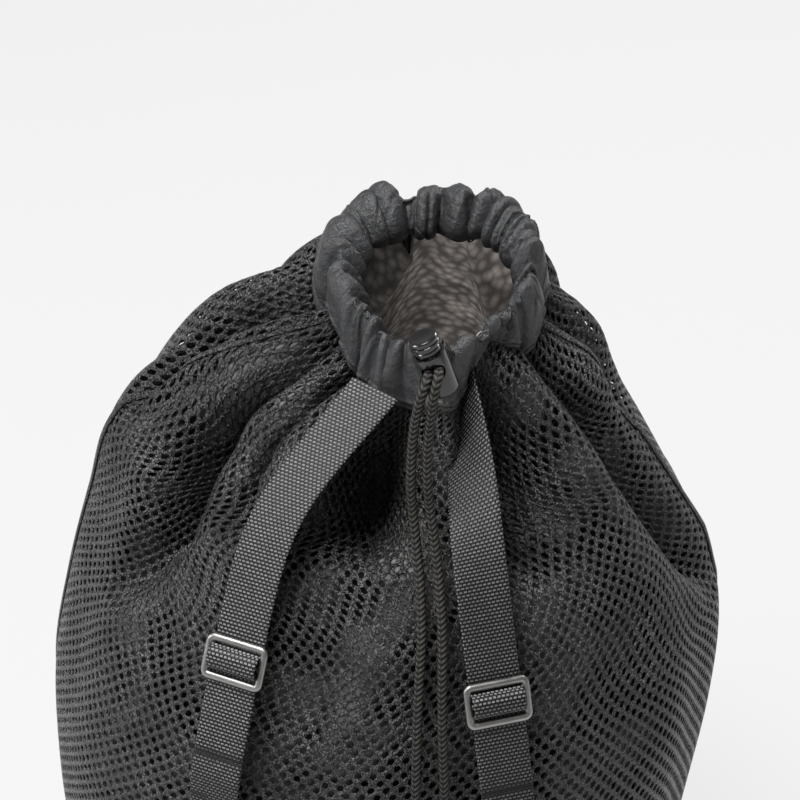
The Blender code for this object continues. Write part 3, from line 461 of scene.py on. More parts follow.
def add_data(name, data, material, smooth):
    data.materials.append(material)
    if smooth:
        data.shade_smooth()
    return add_object(name, data)


def give_map(piece, coordinates, name="fabric"):
    """Stores a metric map, one coordinate for each point, for the materials to read."""
    data = piece.data
    corners = np.empty(len(data.loops), np.int32)
    data.loops.foreach_get("vertex_index", corners)
    layer = data.uv_layers.new(name=name)
    layer.data.foreach_set("uv", np.ascontiguousarray(coordinates[corners], np.float32).ravel())


def grid_quads(columns, rows, closed):
    """Quads of a [column, row] grid of points."""
    last = columns if closed else columns - 1
    i, j = np.meshgrid(np.arange(last), np.arange(rows - 1), indexing="ij")
    k = (i + 1) % columns
    corners = [i * rows + j, k * rows + j, k * rows + j + 1, i * rows + j + 1]
    return np.stack(corners, -1).reshape(-1, 4)


def tube_quads(rings, sides, closed):
    """Quads of a tube of rings, with this many sides; closed joins its two ends."""
    last = rings if closed else rings - 1
    i, j = np.meshgrid(np.arange(last), np.arange(sides), indexing="ij")
    k, m = (i + 1) % rings, (j + 1) % sides
    corners = [i * sides + j, k * sides + j, k * sides + m, i * sides + m]
    return np.stack(corners, -1).reshape(-1, 4)


def tube_points(line, out, up, out_reach, up_reach):
    """A ring of points round each point of a line; reaches are [ring, side] or [side]."""
    return line[:, None] + out[:, None] * out_reach[..., None] + up[:, None] * up_reach[..., None]


def sheet_mesh(name, points, material, closed=False, thickness=0.0, uv=None):
    """A sheet through [column, row] points, with a thickness if one is given."""
    columns, rows = points.shape[:2]
    piece = add_quads(name, points.reshape(-1, 3), grid_quads(columns, rows, closed), material)
    if uv is not None:
        give_map(piece, uv.reshape(-1, 2))
    if thickness:
        solid = piece.modifiers.new("thickness", "SOLIDIFY")
        solid.thickness = thickness
        solid.offset = 0.0
    return piece


def finish_piece(piece, body, slot, *nodes):
    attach(piece, body)
    if nodes:
        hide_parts(*nodes)
    return piece


# ------------------------------------------------------------------ materials
FLOOR_GLOW = 0.79
FLOOR_HALF_WIDTH = 6
# the glow of the bag's inside is painted light, not a lamp
INSIDE_GLOW = 0.30
WORLD_LIGHT = 0.22


class Shader:
    """A Principled material with short helpers for its nodes."""

    def __init__(self, name, colour, roughness, metallic=0.0, specular=0.5):
        self.material = bpy.data.materials.new(name)
        self.material.use_nodes = True
        self.nodes = self.material.node_tree.nodes
        self.links = self.material.node_tree.links
        self.shader = self.nodes["Principled BSDF"]
        self.shader.inputs["Base Color"].default_value = (*colour, 1.0)
        self.shader.inputs["Roughness"].default_value = roughness
        self.shader.inputs["Metallic"].default_value = metallic
        self.shader.inputs["Specular IOR Level"].default_value = specular
        self.height = None

    def node(self, kind, **values):
        made = self.nodes.new(kind)
        for key, value in values.items():
            setattr(made, key, value)
        return made

    def join(self, source, target):
        self.links.new(source, target)

    def coordinates(self, mapped, scale):
        """Coordinates from the piece's own map or its rest position, scaled."""
        if mapped:
            source = self.node("ShaderNodeUVMap", uv_map="fabric").outputs["UV"]
        else:
            source = self.node("ShaderNodeTexCoord").outputs["Object"]
        mapping = self.node("ShaderNodeMapping")
        mapping.inputs["Scale"].default_value = scale
        self.join(source, mapping.inputs["Vector"])
        return mapping.outputs["Vector"]

    def noise(self, scale, detail=3.0, roughness=0.55, mapped=False, stretch=(1, 1, 1)):
        made = self.node("ShaderNodeTexNoise")
        made.inputs["Scale"].default_value = scale
        made.inputs["Detail"].default_value = detail
        made.inputs["Roughness"].default_value = roughness
        self.join(self.coordinates(mapped, stretch), made.inputs["Vector"])
        return made.outputs["Fac"]

    def math(self, operation, first, second=0.0, clamp=False):
        made = self.node("ShaderNodeMath", operation=operation, use_clamp=clamp)
        for socket, value in zip(made.inputs, (first, second)):
            if isinstance(value, (int, float)):
                socket.default_value = value
            else:
                self.join(value, socket)
        return made.outputs["Value"]

    def ramp(self, source, low, high, start, end):
        """A value that goes from start to end as source goes from low to high."""
        made = self.node("ShaderNodeMapRange")
        for key, value in (("From Min", low), ("From Max", high), ("To Min", start), ("To Max", end)):
            made.inputs[key].default_value = value
        self.join(source, made.inputs["Value"])
        return made.outputs["Result"]

    def tint(self, source, dark, light):
        """Base colour between two colours, by source from 0 to 1."""
        made = self.node("ShaderNodeMix", data_type="RGBA")
        made.inputs["A"].default_value = (*dark, 1.0)
        made.inputs["B"].default_value = (*light, 1.0)
        self.join(source, made.inputs["Factor"])
        self.join(made.outputs["Result"], self.shader.inputs["Base Color"])

    def rough(self, source, low, high):
        self.join(self.ramp(source, 0.3, 0.7, low, high), self.shader.inputs["Roughness"])

    def relief(self, source, depth, strength=1.0):
        """Adds a bump of this depth in metres."""
        made = self.node("ShaderNodeBump")
        made.inputs["Strength"].default_value = strength
        made.inputs["Distance"].default_value = depth
        self.join(source, made.inputs["Height"])
        if self.height is not None:
            self.join(self.height, made.inputs["Normal"])
        self.height = made.outputs["Normal"]
        self.join(self.height, self.shader.inputs["Normal"])


def yarn_material():
    """Knitted polyester: glossy filaments that run along the strands, with pale painted glints along them
    in the colour.
    """
    made = Shader("mesh_yarn", (0.012, 0.012, 0.013), 0.36, specular=0.45)
    # pale lines in the base colour are painted glints on the filaments, made uneven by random patches
    painted_glints = made.ramp(made.noise(1500, 3, stretch=(1.0, 0.5, 0.8)), 0.48, 0.64, 0.0, 1.0)
    patches = made.ramp(made.noise(34, 4), 0.3, 0.7, 0.25, 1.0)
    shade = made.math("MULTIPLY", painted_glints, patches, True)
    made.tint(shade, (0.001, 0.001, 0.001), (0.185, 0.185, 0.189))
    filaments = made.noise(900, 3, stretch=(1.0, 0.55, 0.8))
    made.relief(filaments, 0.0018, 1.0)
    made.rough(made.noise(420, 2), 0.20, 0.46)
    return made.material


def nylon_material():
    """Coated nylon: satin, with fine crumples and a close weave."""
    made = Shader("coated_nylon", (0.05, 0.05, 0.052), 0.36, specular=0.55)
    made.tint(made.noise(60, 5), (0.009, 0.0092, 0.010), (0.060, 0.0615, 0.065))
    made.relief(made.noise(170, 6, 0.65), 0.0024, 0.8)
    made.relief(made.noise(2200, 2), 0.00012, 0.5)
    made.rough(made.noise(90, 4), 0.30, 0.48)
    return made.material


def lining_material(name, dark, light):
    """Soft layer close behind the mesh, seen through its holes."""
    made = Shader(name, light, 0.85, specular=0.2)
    made.tint(made.ramp(made.noise(30, 4), 0.44, 0.60, 0.0, 1.0), dark, light)
    made.relief(made.noise(900, 2), 0.0004, 0.6)
    return made.material


def inside_material():
    """The inside of the bag: brown-grey, with painted light: pale specks painted where light would come in
    through holes, lighter towards the right, and glowing in its own colour.
    """
    made = Shader("lining_inside", (0.4, 0.36, 0.33), 0.85, specular=0.1)
    # pale specks painted where light would come in through holes: painted light
    painted_light_spots = made.node("ShaderNodeTexVoronoi")
    painted_light_spots.inputs["Scale"].default_value = 185
    made.join(made.coordinates(False, (1, 1, 1)), painted_light_spots.inputs["Vector"])
    painted_light_dots = made.ramp(painted_light_spots.outputs["Distance"], 0.10, 0.70, 1.0, 0.28)
    patches = made.ramp(made.noise(24, 4), 0.36, 0.60, 0.35, 1.0)
    parts = made.node("ShaderNodeSeparateXYZ")
    made.join(made.coordinates(False, (1, 1, 1)), parts.inputs["Vector"])
    # lighter towards the right: painted light, as if light fell in from that side
    painted_daylight = made.ramp(parts.outputs["X"], -0.012, 0.045, 0.06, 1.0)
    painted_daylight.node.clamp = True
    # the painted light of the specks and of the right side, times random patches
    shade = made.math("MULTIPLY", made.math("MULTIPLY", painted_light_dots, patches), painted_daylight)
    made.tint(shade, (0.015, 0.014, 0.013), (0.72, 0.655, 0.615))
    # the inside glows in its own colour: painted light, not a lamp
    made.join(made.shader.inputs["Base Color"].links[0].from_socket,
              made.shader.inputs["Emission Color"])
    made.shader.inputs["Emission Strength"].default_value = INSIDE_GLOW
    return made.material


def webbing_material():
    """Ribbed webbing: short floats of yarn set in steps across each rib, pale over near-black gaps, the
    floats' paleness partly a painted highlight.
    """
    made = Shader("webbing", (0.030, 0.031, 0.033), 0.50, specular=0.40)
    weave = made.node("ShaderNodeTexBrick", offset=0.5, offset_frequency=2)
    weave.inputs["Color1"].default_value = (1, 1, 1, 1)
    weave.inputs["Color2"].default_value = (0.62, 0.62, 0.62, 1)
    weave.inputs["Mortar"].default_value = (0, 0, 0, 1)
    weave.inputs["Scale"].default_value = 1.0
    weave.inputs["Brick Width"].default_value = 0.0021
    weave.inputs["Row Height"].default_value = 0.00175
    weave.inputs["Mortar Size"].default_value = 0.00046
    weave.inputs["Mortar Smooth"].default_value = 0.5
    made.join(made.coordinates(True, (1, 1, 1)), weave.inputs["Vector"])
    # pale floats over near-black gaps are the weave's pattern; the floats' paleness is partly a painted
    # highlight
    made.tint(weave.outputs["Color"], (0.001, 0.001, 0.001), (0.30, 0.30, 0.305))
    made.relief(weave.outputs["Color"], 0.0005, 0.9)
    made.relief(made.noise(1600, 2), 0.0002, 0.5)
    return made.material


def plastic_material():
    made = Shader("lock_plastic", (0.006, 0.006, 0.007), 0.22, specular=0.6)
    made.relief(made.noise(700, 3), 0.00006, 0.35)
    made.rough(made.noise(120, 4), 0.14, 0.28)
    made.shader.inputs["Coat Weight"].default_value = 0.5
    made.shader.inputs["Coat Roughness"].default_value = 0.12
    return made.material


def nickel_material():
    """Satin nickel with fine brushing and a few rubbed patches."""
    made = Shader("satin_nickel", (0.36, 0.355, 0.345), 0.36, metallic=1.0)
    made.tint(made.noise(260, 4), (0.26, 0.255, 0.25), (0.42, 0.415, 0.40))
    made.relief(made.noise(900, 3, stretch=(0.15, 1, 1)), 0.00008, 0.5)
    made.rough(made.noise(180, 4), 0.32, 0.46)
    return made.material


def steel_material():
    made = Shader("spring_steel", (0.60, 0.60, 0.60), 0.22, metallic=1.0)
    made.rough(made.noise(400, 3), 0.16, 0.30)
    return made.material


def thread_material():
    made = Shader("sewing_thread", (0.030, 0.030, 0.033), 0.6, specular=0.4)
    made.tint(made.noise(500, 2), (0.018, 0.018, 0.020), (0.060, 0.060, 0.064))
    return made.material


def cord_material():
    """Braided cord: dark strands with pale flecks, by the strand that shows."""
    made = Shader("braided_cord", (0.05, 0.05, 0.05), 0.6, specular=0.18)
    shade = made.node("ShaderNodeVertexColor", layer_name="strand")
    uneven = made.ramp(made.noise(900, 2), 0.35, 0.65, 0.75, 1.1)
    flecks = made.math("MULTIPLY", shade.outputs["Color"], uneven, True)
    made.tint(flecks, (0.001, 0.001, 0.001), (0.105, 0.099, 0.090))
    made.relief(made.noise(2400, 2), 0.00015, 0.5)
    return made.material


def floor_material():
    """Pale studio paper, lit a little from behind so that shadows stay faint."""
    made = Shader("studio_floor", (0.10, 0.10, 0.10), 0.95, specular=0.0)
    made.shader.inputs["Emission Color"].default_value = (1, 1, 1, 1)
    made.shader.inputs["Emission Strength"].default_value = FLOOR_GLOW
    return made.material


# ------------------------------------------------------------------ mesh body
def lattice_cells(columns, rows):
    """Centres (column, row) of the holes in a block of the lattice."""
    i, j = np.meshgrid(np.arange(*columns), np.arange(*rows), indexing="ij")
    holes = (i + j) % 2 == 0
    return i[holes], j[holes]


def mesh_block(name, fabric, columns, rows, material):
    """Knitted mesh with a hole in each diamond cell, its strands rounded over."""
    i, j = lattice_cells(columns, rows)
    turns = np.arange(HOLE_SIDES) * (2 * math.pi / HOLE_SIDES)
    reach = np.where(np.arange(HOLE_SIDES) % 2 == 0, 1.0, math.sqrt(0.5))
    rings = []
    half = MESH_THICKNESS / 2
    for radius, inset in ((None, -half), (HOLE_RADIUS * 1.16, -half * 0.75), (HOLE_RADIUS, 0.0),
                          (HOLE_RADIUS * 1.16, half * 0.75), (None, half)):
        spread = reach if radius is None else np.full(HOLE_SIDES, radius)
        column = i[:, None] + spread * np.cos(turns)
        row = j[:, None] + spread * np.sin(turns)
        sheared = column + LATTICE_TURN * row
        rings.append((fabric.read(sheared, row, np.full(column.shape, inset)),
                      np.stack([sheared, row], -1) * HOLE_STEP))
    points = np.concatenate([ring.reshape(-1, 3) for ring, _ in rings])
    places = np.concatenate([place.reshape(-1, 2) for _, place in rings])
    count = len(i) * HOLE_SIDES
    start = np.arange(len(i))[:, None] * HOLE_SIDES
    here = start + np.arange(HOLE_SIDES)
    after = start + (np.arange(HOLE_SIDES) + 1) % HOLE_SIDES
    quads = []
    for ring in range(len(rings) - 1):
        low, high = ring * count, (ring + 1) * count
        quads.append(np.stack([low + here, low + after, high + after, high + here], -1))
    quads = np.concatenate([quad.reshape(-1, 4) for quad in quads])
    points, quads, places = weld(points, quads, places)
    piece = add_quads(name, points, quads, material)
    give_map(piece, places)
    return piece


def weld(points, quads, places):
    """Joins points that lie on the same place, such as the corners that cells share."""
    keys = np.round(points * 2e5).astype(np.int64)
    _, first, same = np.unique(keys, axis=0, return_index=True, return_inverse=True)
    same = same.reshape(-1)
    return points[first], same[quads], places[first]


def mesh_body(fabric, material):
    """Six blocks of mesh: front and back, each in three bands."""
    half = LATTICE_COLUMNS // 2
    quarter = half // 2
    bands = np.linspace(1, fabric.rows, 4).round().astype(int)
    for side, start, node in (("back", -quarter, "body_back"), ("front", quarter, "body_front")):
        for band, name in enumerate(("lower", "middle", "upper")):
            piece = mesh_block(f"mesh_{side}_{name}", fabric, (start, start + half),
                               (bands[band], bands[band + 1]), material)
            finish_piece(piece, "bag", "mesh_fabric", node)


# ------------------------------------------------------------------ collar
COLLAR_AROUND = 720
COLLAR_OPENING = 0.0060      # half width of the opening in front, at the lock
HEM_WELTS = ((0.060, 0.0010), (0.115, 0.0010))   # place on the section, height
HEM_WELT_WIDTH = 0.016
CREST_RISE = 0.022
COLLAR_CLOTH = 0.0008
CRUMPLES = 110               # short creases scattered over the collar
GATHERS = 21                 # puffs of nylon round the collar
GATHER_DEPTH = 0.26          # height of a puff, as a share of its width
GATHER_SHARPNESS = 2.0
CREASE_LIMIT = 0.0046        # no crease reaches the cord inside
# The collar's crest and inner edge: (degrees, crest outward, edge outward, edge up).
COLLAR_RIM = (
    (-165, -0.015, -0.024, 0.005), (-140, -0.017, -0.023, 0.008), (-112, -0.015, -0.021, 0.010),
    (-90, -0.014, -0.020, 0.010), (-60, -0.018, -0.022, 0.012), (-30, -0.017, -0.020, 0.009),
    (0, -0.011, -0.018, 0.006), (20, -0.007, -0.016, 0.005), (49, -0.002, -0.014, 0.004),
    (70, -0.005, -0.015, 0.003), (86, -0.004, -0.014, 0.000), (104, -0.004, -0.016, 0.002),
    (120, 0.002, -0.014, 0.003), (150, -0.005, -0.020, 0.002), (172, -0.012, -0.024, 0.002),
)
# Where the drawcord pinches the collar: degrees, half width in degrees, depth.
PINCHES = ((168, 4, 0.008), (150, 3, 0.003), (134, 3, 0.0035), (119, 3, 0.003), (104, 4, 0.009),
           (86, 3, 0.003), (66, 4, 0.008), (44, 3, 0.003), (28, 3, 0.003), (8, 4, 0.007),
           (-18, 5, 0.008), (-36, 4, 0.005), (-56, 4, 0.006), (-108, 4, 0.004),
           (-126, 4, 0.008), (-138, 3, 0.005), (-152, 4, 0.008))


def mouth_point(angle, outward, rise):
    """Points by the mouth: outward from the seam circle, and up from its plane."""
    radius = MOUTH_SEAM_RADIUS + outward
    x, y = radius * np.cos(angle), radius * np.sin(angle)
    lift = math.tan(MOUTH_TILT) * y
    return np.stack([MOUTH_SHIFT_X + x, MOUTH_SHIFT_Y + y, BODY_HEIGHT + lift + rise], -1)


def seam_offsets(angle):
    """Where the folded seam lies: outward from the seam circle, and up from its plane."""
    turns = np.linspace(-math.pi, math.pi, 1441)
    heights = np.array([BODY_HEIGHT - 0.002, BODY_HEIGHT - 0.001, BODY_HEIGHT])
    seam = folded(*np.meshgrid(turns, heights, indexing="ij"), closed=False)[:, -1]
    x, y = seam[:, 0] - MOUTH_SHIFT_X, seam[:, 1] - MOUTH_SHIFT_Y
    outward = np.hypot(x, y) - MOUTH_SEAM_RADIUS
    rise = seam[:, 2] - BODY_HEIGHT - math.tan(MOUTH_TILT) * y
    around = half_turn_range(np.asarray(angle))
    return np.interp(around, turns, outward), np.interp(around, turns, rise)


def gathers(angle, share):
    """Puffs of nylon between the sharp creases that the drawcord pulls into the collar."""
    chance = np.random.default_rng(11)
    spacing = chance.uniform(0.45, 1.25, GATHERS) ** 2
    creases = np.concatenate([[0], np.cumsum(spacing)]) / spacing.sum() * 2 * math.pi
    slant = 0.10 * np.sin(5 * angle + 1.0) + 0.12 * np.sin(2 * angle + 2.0) + 0.06 * np.sin(11 * angle)
    around = (angle + slant * (share - 0.7)) % (2 * math.pi)
    number = np.clip(np.searchsorted(creases, around, side="right") - 1, 0, GATHERS - 1)
    gap = np.diff(creases)[number]
    part = (around - creases[number]) / gap
    begin = chance.uniform(0.06, 0.42, GATHERS + 1)
    start = begin[number] + (begin[number + 1] - begin[number]) * part
    grown = np.clip((share - start) / 0.38, 0, 1)
    cushion = 1 - np.abs(2 * part - 1) ** GATHER_SHARPNESS
    return GATHER_DEPTH * gap * MOUTH_SEAM_RADIUS * (cushion - 0.7) * eased_step(grown)


def pinch_depth(angle, share):
    """How deep the drawcord pinches the collar, by angle and place on the section."""
    hold = np.clip((share - 0.10) / 0.40, 0, 1) * np.clip((1.15 - share) / 0.5, 0.35, 1)
    total = np.zeros_like(angle)
    for degrees, width, depth in PINCHES:
        aside = half_turn_range(angle - math.radians(degrees))
        total += depth * np.exp(-np.abs(aside / math.radians(width)) ** 1.1)
    return total * hold


def crumples(angle, share):
    """Short sharp creases in the gathered nylon, each with a rolled edge beside it."""
    chance = np.random.default_rng(21)
    total = np.zeros_like(angle)
    for _ in range(CRUMPLES):
        centre = chance.uniform(-math.pi, math.pi)
        slant = chance.uniform(-1.1, 1.1)
        middle = chance.uniform(0.15, 0.95)
        reach = chance.uniform(0.08, 0.22)
        width = chance.uniform(0.008, 0.026)
        depth = chance.uniform(0.0004, 0.0013)
        aside = half_turn_range(angle - centre - slant * (share - middle))
        fade = np.exp(-((share - middle) / reach) ** 2)
        groove = np.exp(-np.abs(aside / width) ** 1.1)
        roll = np.exp(-np.abs((aside - 1.6 * width) / width) ** 1.4)
        total += depth * fade * (0.8 * roll - groove)
    return total


def mix(a, b, part):
    return a + (b - a) * part


def collar_surface(angle, share):
    """Points of the gathered collar; share runs from its seam to its inner edge."""
    seam_out, seam_up = seam_offsets(angle)
    crest_out, edge_out, edge_up = (round_the_mouth(angle, COLLAR_RIM, i) for i in (1, 2, 3))
    crest_up = CREST_RISE + 0.0025 * np.sin(2 * angle + 0.6) + 0.0015 * np.sin(7 * angle)
    nodes = (
        (seam_out + 0.0012, seam_up - 0.0015),
        (mix(seam_out, crest_out, 0.14) + 0.0026, mix(seam_up, crest_up, 0.20)),
        (mix(seam_out, crest_out, 0.46) + 0.0026, mix(seam_up, crest_up, 0.56)),
        (mix(seam_out, crest_out, 0.80) + 0.0018, mix(seam_up, crest_up, 0.90)),
        (mix(crest_out, edge_out, 0.25), crest_up + 0.0006),
        (mix(crest_out, edge_out, 0.80), mix(crest_up, edge_up, 0.25)),
        (edge_out - 0.0010, mix(crest_up, edge_up, 0.62)),
        (edge_out + 0.0010, edge_up),
    )
    place = share * (len(nodes) - 1)
    outward, rise = np.zeros_like(share), np.zeros_like(share)
    for i in range(len(nodes) - 1):
        before, here, after, beyond = (nodes[min(max(k, 0), len(nodes) - 1)]
                                       for k in (i - 1, i, i + 1, i + 2))
        t = place - i
        here_part = (t >= 0) & ((t < 1) | (i == len(nodes) - 2))
        for target, axis in ((outward, 0), (rise, 1)):
            slope_a = (after[axis] - before[axis]) / 2
            slope_b = (beyond[axis] - here[axis]) / 2
            target[here_part] = cubic(here[axis], slope_a, after[axis], slope_b, t)[here_part]
    return mouth_point(angle, outward, rise)


def collar(material):
    """Coated nylon tunnel, puckered by its drawcord, with a double-stitched hem."""
    gap = math.asin(COLLAR_OPENING / MOUTH_SEAM_RADIUS)
    turns = np.linspace(-math.pi / 2 + gap, 1.5 * math.pi - gap, COLLAR_AROUND)
    shares = np.concatenate([np.linspace(0, 0.16, 20), np.linspace(0.178, 1, 46)])
    angle, share = np.meshgrid(turns, shares, indexing="ij")
    points = collar_surface(angle, share)
    normals = surface_normals(points, closed=False)
    puff = 0.0016 * np.sin(math.pi * np.clip(share, 0, 1)) ** 0.8
    lift = puff + gathers(angle, share) - pinch_depth(angle, share) + crumples(angle, share)
    lift = np.where(lift < 0, CREASE_LIMIT * np.tanh(lift / CREASE_LIMIT), lift)
    for place, height in HEM_WELTS:
        lift = lift + height * np.exp(-((share - place) / HEM_WELT_WIDTH) ** 2)
    points = points + normals * lift[..., None]
    piece = sheet_mesh("collar_nylon", points, material, thickness=COLLAR_CLOTH)
    finish_piece(piece, "bag", "coated_nylon", "collar_tunnel", "collar_seam_tape")
    return points


def drawcord(material):
    """The drawcord's two ends, from inside the collar to the lock's hole."""
    hole = np.array(tuple(lock_place()))
    spread = (CORD_DIAMETER + CORD_SIDE_GAP) / 2
    sideways = np.array([math.cos(LOCK_LEAN), 0.0, math.sin(LOCK_LEAN)])
    back = np.array([0.0, 1.0, 0.0])
    for name, way in (("drawcord_right", 1), ("drawcord_left", -1)):
        turns = -math.pi / 2 + way * np.linspace(DRAWCORD_LEAD, DRAWCORD_HIDDEN, 6)
        low = collar_surface(turns, np.full(6, 0.36))
        high = collar_surface(turns, np.full(6, 0.80))
        foot = hole + sideways * way * spread
        lead = [foot, foot + back * LEAD_FOLLOWS / 2, foot + back * LEAD_FOLLOWS]
        piece, _ = braided(name, np.concatenate([lead, (low + high) / 2]), CORD_DIAMETER, material)
        cap_ends(piece)
        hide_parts("drawcord_loop")
        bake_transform(piece)


# ------------------------------------------------------------------ lining
def lining(outer, inner):
    """Soft layer close behind the mesh, dark outside and brown-grey inside."""
    turns = np.linspace(0, 2 * math.pi, 260, endpoint=False)
    heights = np.linspace(BODY_FOOT + 0.004, BODY_HEIGHT * LINING_TOP, 110)
    angle, height = np.meshgrid(turns, heights, indexing="ij")
    hollow = 0.5 + 0.5 * ripples(angle, height, 31, 9, (3, 12), 14.0)
    gather = np.clip((1 - height / BODY_HEIGHT) / 0.06, 0.15, 1)
    slack = LINING_SLACK + LINING_HOLLOW * gather * np.clip(hollow, 0, 1.5)
    points = folded(angle, height, slack)
    rim = [points[:, -1:] + np.array([0, 0, rise]) for rise in LINING_RIM]
    points = np.concatenate([points] + rim, axis=1)
    sheets = (("lining_outside", outer, 0.0), ("lining_inside", inner, 2 * LINING_CLOTH))
    for name, material, inset in sheets:
        inward = surface_normals(points) * inset
        piece = sheet_mesh(name, points - inward, material, closed=True, thickness=LINING_CLOTH)
        finish_piece(piece, "bag", "mesh_fabric")


# ------------------------------------------------------------------ straps
def as_vector(point):
    return Vector([float(value) for value in point])


def front_point(x, z):
    """The point of the smooth body's front at x and z."""
    low, high = BODY_FOOT, BODY_HEIGHT + 0.03
    for _ in range(34):
        height = (low + high) / 2
        left, right, front, _, drift, squareness, tilt = [
            float(value) for value in level_at(min(height, BODY_HEIGHT))]
        offset = x - drift * MOUTH_SHIFT_X
        share = min(abs(offset) / (right if offset > 0 else left), 0.999)
        y = -front * (1 - share ** squareness) ** (1 / squareness)
        if height + tilt * math.tan(MOUTH_TILT) * y < z:
            low = height
        else:
            high = height
    return Vector((x, drift * MOUTH_SHIFT_Y + y, z))


def front_normal(x, z):
    step = 0.004
    across = front_point(x + step, z) - front_point(x - step, z)
    upward = front_point(x, z + step) - front_point(x, z - step)
    return across.cross(upward).normalized()


def strap_x(side, height):
    route = STRAPS[side]["route"][::-1]
    heights = [share * BODY_HEIGHT for _, share in route]
    places = [share * BODY_WIDTH for share, _ in route]
    return float(smooth_curve(height, heights, places))


def strap_offset():
    return STRAP_STAND_OFF + MESH_THICKNESS / 2 + 1.5 * WEBBING_THICKNESS + GAP


def glide(side):
    """Where the adjuster sits, and its directions down, across and away from the bag."""
    share_x, share_z = STRAPS[side]["adjuster"]
    x, z = share_x * BODY_WIDTH, share_z * BODY_HEIGHT
    normal = front_normal(x, z)
    across = Vector((math.cos(STRAPS[side]["lean"]), 0.0, math.sin(STRAPS[side]["lean"])))
    down = across.cross(normal).normalized()
    if down.z > 0:
        down = -down
    across = normal.cross(down).normalized()
    if across.x < 0:
        across = -across
    return front_point(x, z) + normal * strap_offset(), down, across, normal


def hermite(a, a_way, b, b_way, count):
    """Points between a and b on a curve that leaves a and reaches b along these ways."""
    reach = (b - a).length
    return [cubic(a, a_way * reach, b, b_way * reach, i / count) for i in range(1, count)]


def twist_at(side, height):
    top = STRAPS[side]["route"][0][1] * BODY_HEIGHT
    share = max(0.0, min(1.0, (height - top + TWIST_HEIGHT) / TWIST_HEIGHT))
    return STRAPS[side]["twist"] * eased_step(share)


def on_body(side, height):
    x = strap_x(side, height)
    lift = strap_offset() + abs(math.sin(twist_at(side, height))) * WEBBING_WIDTH / 2
    return front_point(x, height) + front_normal(x, height) * lift


def body_way(side, height):
    step = 0.003
    return (on_body(side, height - step) - on_body(side, height + step)).normalized()


def strap_path(side):
    """The CAD strap's middle line, from the collar to its lower ring."""
    centre, down, _, _ = glide(side)
    top_end = centre - down * GLIDE_REACH
    low_end = centre + down * GLIDE_REACH
    high_land = top_end.z + GLIDE_RISE
    low_land = low_end.z - GLIDE_RETURN
    top = STRAPS[side]["route"][0][1] * BODY_HEIGHT - COLLAR_TAPE_WIDTH / 2
    path = [on_body(side, top + (high_land - top) * i / 8) for i in range(9)]
    path += hermite(path[-1], body_way(side, high_land), top_end, down, 5)
    path += [top_end + (low_end - top_end) * (i / 6) for i in range(7)]
    landing = on_body(side, low_land)
    path += hermite(low_end, down, landing, body_way(side, low_land), 5)
    bottom = RING_Z + RING_HEIGHT / 2 + RING_WIRE
    path += [on_body(side, low_land + (bottom - low_land) * i / 12) for i in range(13)]
    return path


def glide_share(side, height):
    centre, down, _, _ = glide(side)
    beyond = abs(height - centre.z) - abs(down.z) * GLIDE_REACH
    share = max(0.0, min(1.0, 1 - beyond / GLIDE_RETURN))
    return eased_step(share)


def strap_widths(side, path):
    widths = []
    last = len(path) - 1
    across = glide(side)[2]
    for i, point in enumerate(path):
        way = (path[min(i + 1, last)] - path[max(i - 1, 0)]).normalized()
        flat = front_normal(strap_x(side, point.z), point.z).cross(way).normalized()
        if flat.x < 0:
            flat = -flat
        turned_width = Matrix.Rotation(twist_at(side, point.z), 3, way) @ flat
        widths.append(turned_width.lerp(across, glide_share(side, point.z)).normalized())
    return widths


def eased(values, reach):
    """Values averaged along their line with a bell of this many steps."""
    if not reach:
        return values
    steps = np.arange(-3 * reach, 3 * reach + 1)
    bell = np.exp(-0.5 * (steps / reach) ** 2)
    bell /= bell.sum()
    ahead = 2 * values[:1] - values[1:3 * reach + 1][::-1]
    behind = 2 * values[-1:] - values[-3 * reach - 1:-1][::-1]
    longer = np.concatenate([ahead, values, behind])
    return np.stack([np.convolve(column, bell, "valid") for column in longer.T], -1)


def dense(points, step):
    """The same line in even steps."""
    points = np.array(points, float)
    lengths = running_lengths(points)
    places = np.linspace(0, lengths[-1], max(3, int(lengths[-1] / step)))
    line = np.stack([smooth_curve(places, lengths, column) for column in points.T], -1)
    return line, places, lengths


RIB = 0.00175                # distance between the webbing's ribs
RIB_DEPTH = 0.00026


def webbing(name, path, widths, material, body, node, offset=0.0, width=WEBBING_WIDTH, ease=0):
    """Ribbed webbing along a path; offset moves it away from the bag."""
    line, places, lengths = dense(path, RIB / 4)
    across = read_along(places, lengths, np.array([tuple(w) for w in widths]))
    line = eased(line, ease)
    across = unit(eased(across, ease))
    ways = np.gradient(line, axis=0)
    faces = unit(np.cross(across, ways))
    faces = np.where(faces[:, 1:2] > 0, -faces, faces)
    rib = RIB_DEPTH * np.cos(2 * math.pi * places / RIB)
    shares = np.array([-0.5, -0.47, -0.4, -0.25, 0.0, 0.25, 0.4, 0.47, 0.5])
    edge = np.array([-0.00022, 0, 0.00004, 0, 0, 0, 0.00004, 0, -0.00022])
    lift = offset + rib[None, :] + edge[:, None]
    points = (line[None] + across[None] * (shares[:, None, None] * width)
              + faces[None] * lift[..., None])
    uv = np.stack(np.broadcast_arrays(shares[:, None] * width, places[None, :]), -1)
    piece = sheet_mesh(name, points, material, thickness=WEBBING_THICKNESS - 2 * RIB_DEPTH, uv=uv)
    return finish_piece(piece, body, "webbing", node)


STRAP_EASE = 46              # steps of a quarter rib over which bends are evened out
STRAP_BEND_STEPS = 16
STRAP_UNTWIST = 1.3          # how soon each strap's twist at the collar is gone
# Where each strap leaves the collar's hem: degrees, outward, up, and its turn there.
STRAP_TOPS = {"left": (-121, 0.0030, 0.004, 0.0), "right": (-66, 0.002, 0.002, 72.0)}


